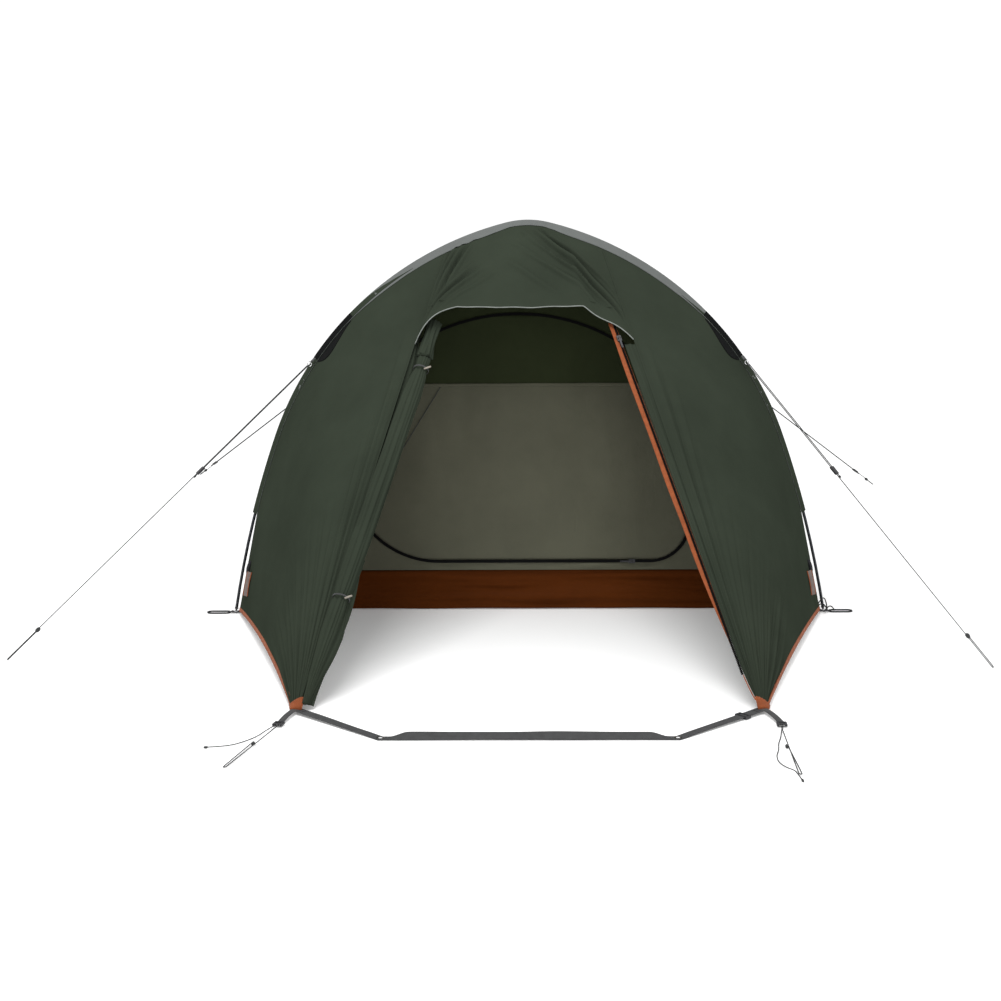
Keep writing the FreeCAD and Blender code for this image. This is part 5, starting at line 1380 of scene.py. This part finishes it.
def make_strap():
    """The webbing across the porch, lying on the ground with its middle stretch's far edge raised."""
    flip = vec(-1, 1, 1)
    marks = [STRAP_END * flip, STRAP_TURN * flip, STRAP_TURN, STRAP_END]
    sides = []
    for a, b in zip(marks, marks[1:]):
        sides.append(unit(np.cross((0, 0, 1), (b - a) * vec(1, 1, 0))))
    ends = [sides[0], sides[0] + sides[1], sides[1] + sides[2], sides[2]]
    ends = [e / (unit(e) @ unit(s)) / np.linalg.norm(e) for e, s in zip(ends, sides[:1] + sides)]
    rows, cols = 620, 13
    shares = np.linspace(0, 1, rows)
    edges = [resample([m + e * half for m, e in zip(marks, ends)], shares) for half in (-0.0123, 0.0123)]
    grid = between(edges[0], edges[1], np.linspace(0, 1, cols)).transpose(1, 0, 2)
    for r in range(rows):
        middle = grid[r, cols // 2]
        near = min(np.linalg.norm((middle - spot)[:2]) for spot in (STRAP_TURN, STRAP_TURN * flip))
        calm = float(smooth_step(near, 0.012, 0.05))
        level = float(smooth_step(near, 0.014, 0.060)) if abs(middle[0]) < STRAP_TURN[0] else 0.0
        wave = 0.5 + 0.5 * noise.noise(Vector((middle[0] * 9, 0, 3.3)))
        for c in range(cols):
            tilt = (c / (cols - 1) - 0.5) * noise.noise(Vector((middle[0] * 6, 5.0, 0))) * 0.004
            grid[r, c, 2] += 0.0010 + calm * (0.0022 * wave + max(tilt, -0.0008))
            grid[r, c, 2] += 0.0100 * level * c / (cols - 1)
    points, uvs = grid.reshape(-1, 3), grid_uv(grid)
    faces = []
    for face in grid_faces(rows, cols):
        middle = sum(points[i] for i in face) / 4
        gaps = [np.linalg.norm((middle - spot)[:2]) for spot in (STRAP_TURN, STRAP_TURN * flip)]
        if min(gaps) > 0.0062:
            faces.append(face)
    strap = new_mesh("porch_strap_webbing", points, faces, uvs, "tent", "webbing_grey")
    solidify(strap, 0.0016, 0)
    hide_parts("porch_strap")
    stitches = []
    for spot, way in ((STRAP_END, 1), (STRAP_END * flip, -1)):
        along = unit((STRAP_TURN * vec(way, 1, 1) - spot))
        across = unit(np.cross(along, (0, 0, 1)))
        for k in (0.018, 0.028):
            a = spot + along * k + vec(0, 0, 0.0036)
            line = [a + across * s for s in np.linspace(-0.010, 0.010, 12)]
            stitches.append(swept(line, (0, 0, 1), band_section(0.0012, 0.0007)))
    solid_piece("strap_bar_tacks", stitches, "tent", "webbing_black")
    return strap


# ---- cords -----------------------------------------------------------------------------
def at(x, y, z):
    return vec(x, FRONT_Y + y, z)


GUYS = {   # start at the ring, peg, share to the runner, share to the lower knot, length
    "front_left": (at(-0.61784, -0.03944, 0.72632), at(-1.366, -0.512, 0.003), 0.375, 0.905, 1.706),
    "front_right": (at(0.61552, -0.04137, 0.72559), at(1.180, -0.600, 0.003), 0.375, 0.905, 1.605),
    "rear_left": (at(-0.59464, 1.74224, 0.64786), at(-1.440, 2.478, 0.003), 0.905, 0.965, 2.535),
    "rear_right": (at(0.59615, 1.73863, 0.64666), at(1.436, 2.158, 0.003), 0.900, 0.962, 2.232),
}
CORNER_CORDS = {   # buckle, knot, peg, free tail, length
    "left": (at(-0.573, -1.066, 0.005), at(-0.609, -1.198, 0.004), at(-0.645, -1.352, 0.003),
             [at(-0.709, -1.222, 0.003), at(-0.683, -1.218, 0.003), at(-0.652, -1.207, 0.003),
              at(-0.628, -1.180, 0.003), at(-0.608, -1.148, 0.003), at(-0.594, -1.108, 0.004)], 0.677),
    "right": (at(0.574, -1.072, 0.005), at(0.562, -1.222, 0.004), at(0.564, -1.398, 0.003),
              [at(0.562, -1.436, 0.003), at(0.556, -1.412, 0.008), at(0.553, -1.388, 0.008),
               at(0.540, -1.356, 0.003), at(0.529, -1.322, 0.003), at(0.531, -1.280, 0.003),
               at(0.542, -1.242, 0.003), at(0.547, -1.200, 0.003), at(0.558, -1.160, 0.003),
               at(0.566, -1.116, 0.004)], 0.879),
}
CORD_RADIUS = 0.00125
HALF_GAP = 0.0032


def cord_curve(name, points):
    data = bpy.data.curves.new(name, "CURVE")
    data.dimensions = "3D"
    data.bevel_depth = CORD_RADIUS
    data.bevel_resolution = 3
    data.resolution_u = 8
    data.use_fill_caps = True
    spline = data.splines.new("NURBS")
    spline.points.add(len(points) - 1)
    for spot, point in zip(spline.points, points):
        spot.co = (*point, 1.0)
    spline.order_u = 3
    spline.use_endpoint_u = True
    data.materials.append(MATERIALS["cord_dark"])
    obj = bpy.data.objects.new(name, data)
    bpy.context.scene.collection.objects.link(obj)
    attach(obj, "tent")
    return obj


def round_turn(spot, along, across):
    """Four points that take a cord round a bar and back, the last leg on the other side."""
    near = along * 0.015
    return [spot - across - near, spot - across, spot + across, spot + across - near]


def make_guys():
    for name, (start, peg, runner, knot, length) in GUYS.items():
        along = unit(peg - start)
        across = unit(np.cross(along, (0, 0, 1))) * HALF_GAP
        span = float(np.linalg.norm(peg - start))
        tail = start + along * (span * runner + 0.0225) - across
        end = start + along * (span * knot + 0.004) - across
        points = [tail] + round_turn(start, -along, across)
        points += round_turn(peg, along, -across) + [end]
        curve = cord_curve("guy_line_" + name, points)
        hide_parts("guy_" + name)


def make_corner_cords():
    for name, (buckle, knot, peg, tail, length) in CORNER_CORDS.items():
        along = unit(peg - buckle)
        across = unit(np.cross(along, (0, 0, 1))) * HALF_GAP
        across = -across if name == "left" else across
        end = knot + along * 0.005 - across
        points = tail + [buckle - across, buckle + across, buckle + across + along * 0.015]
        points += round_turn(peg, along, -across) + [end]
        curve = cord_curve("corner_peg_cord_" + name, points)
        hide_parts("corner_cord_" + name)


# ---- stage, light and camera -----------------------------------------------------------
CAMERA_AT = (0.002, FRONT_Y - 4.706, 1.180)
CAMERA_PITCH = math.radians(10.24)
CAMERA_YAW = math.radians(-1.0)
CAMERA_ROLL = math.radians(0.375)
CAMERA_LENS = 59.84                       # on a sensor 36 mm wide


def make_camera():
    data = bpy.data.cameras.new("camera")
    data.lens = CAMERA_LENS
    data.sensor_width = 36.0
    camera = bpy.data.objects.new("camera", data)
    look = Vector((math.sin(CAMERA_YAW) * math.cos(CAMERA_PITCH),
                   math.cos(CAMERA_YAW) * math.cos(CAMERA_PITCH), -math.sin(CAMERA_PITCH)))
    level = look.cross(Vector((0, 0, 1))).normalized()
    down = look.cross(level)
    right = level * math.cos(CAMERA_ROLL) + down * math.sin(CAMERA_ROLL)
    up = right.cross(look)
    turn = Matrix((right, up, -look)).transposed()
    camera.matrix_world = Matrix.Translation(CAMERA_AT) @ turn.to_4x4()
    bpy.context.scene.collection.objects.link(camera)
    bpy.context.scene.camera = camera


def make_stage():
    mesh = bpy.data.meshes.new("floor")
    mesh.from_pydata([(-40, -40, 0), (40, -40, 0), (40, 40, 0), (-40, 40, 0)], [], [(0, 1, 2, 3)])
    floor = bpy.data.objects.new("floor", mesh)
    bpy.context.scene.collection.objects.link(floor)
    material, _, shader = start_material("pale_floor", 0.9, 0.0, 0.0, 0.1)
    shader.inputs["Base Color"].default_value = (0.93, 0.93, 0.93, 1)
    shader.inputs["Emission Color"].default_value = (1, 1, 1, 1)
    shader.inputs["Emission Strength"].default_value = 0.13
    mesh.materials.append(material)
    floor.location.z = -0.0005
    world = bpy.data.worlds.new("studio")
    world.use_nodes = True
    backdrop = world.node_tree.nodes["Background"]
    backdrop.inputs["Color"].default_value = (1.0, 1.0, 1.0, 1)
    backdrop.inputs["Strength"].default_value = 1.04
    bpy.context.scene.world = world


def area_light(name, place, aim, size, power):
    data = bpy.data.lights.new(name, "AREA")
    data.size = size
    data.energy = power
    light = bpy.data.objects.new(name, data)
    light.location = place
    light.rotation_mode = "QUATERNION"
    light.rotation_quaternion = (Vector(aim) - Vector(place)).to_track_quat("-Z", "Y")
    bpy.context.scene.collection.objects.link(light)


make_camera()
make_stage()
area_light("key", (-0.5, -2.7, 4.2), (0, -0.9, 0.6), 2.0, 115)
area_light("fill", (1.2, -4.4, 2.2), (0.1, -0.8, 0.5), 3.0, 14)
bpy.context.scene.view_settings.view_transform = "Standard"
dress_cad_nodes()
make_guys()
make_corner_cords()
fly, SHEETS = make_flysheet()
front_sleeve = make_sleeve("front_sleeve_cloth", "front_pole_sleeve", FRONT_Y, 1.0, True)
rear_sleeve = make_sleeve("rear_sleeve_cloth", "rear_pole_sleeve", REAR_Y, REAR_SCALE, False)
make_sleeve_cover()
make_fly_trim()
make_guy_patches()
make_corner_patches()
make_side_tags()
flap = make_fly_zip()
make_door_roll()
make_door_ties()
seam_cloth = make_door_seam_cloth()
make_foot_elastics()
make_corner_webs()
wall, netting = make_front_wall()
panel, net = make_inner_door()
canopy, foot_wall = make_canopy()
tray = make_tray()
strap = make_strap()
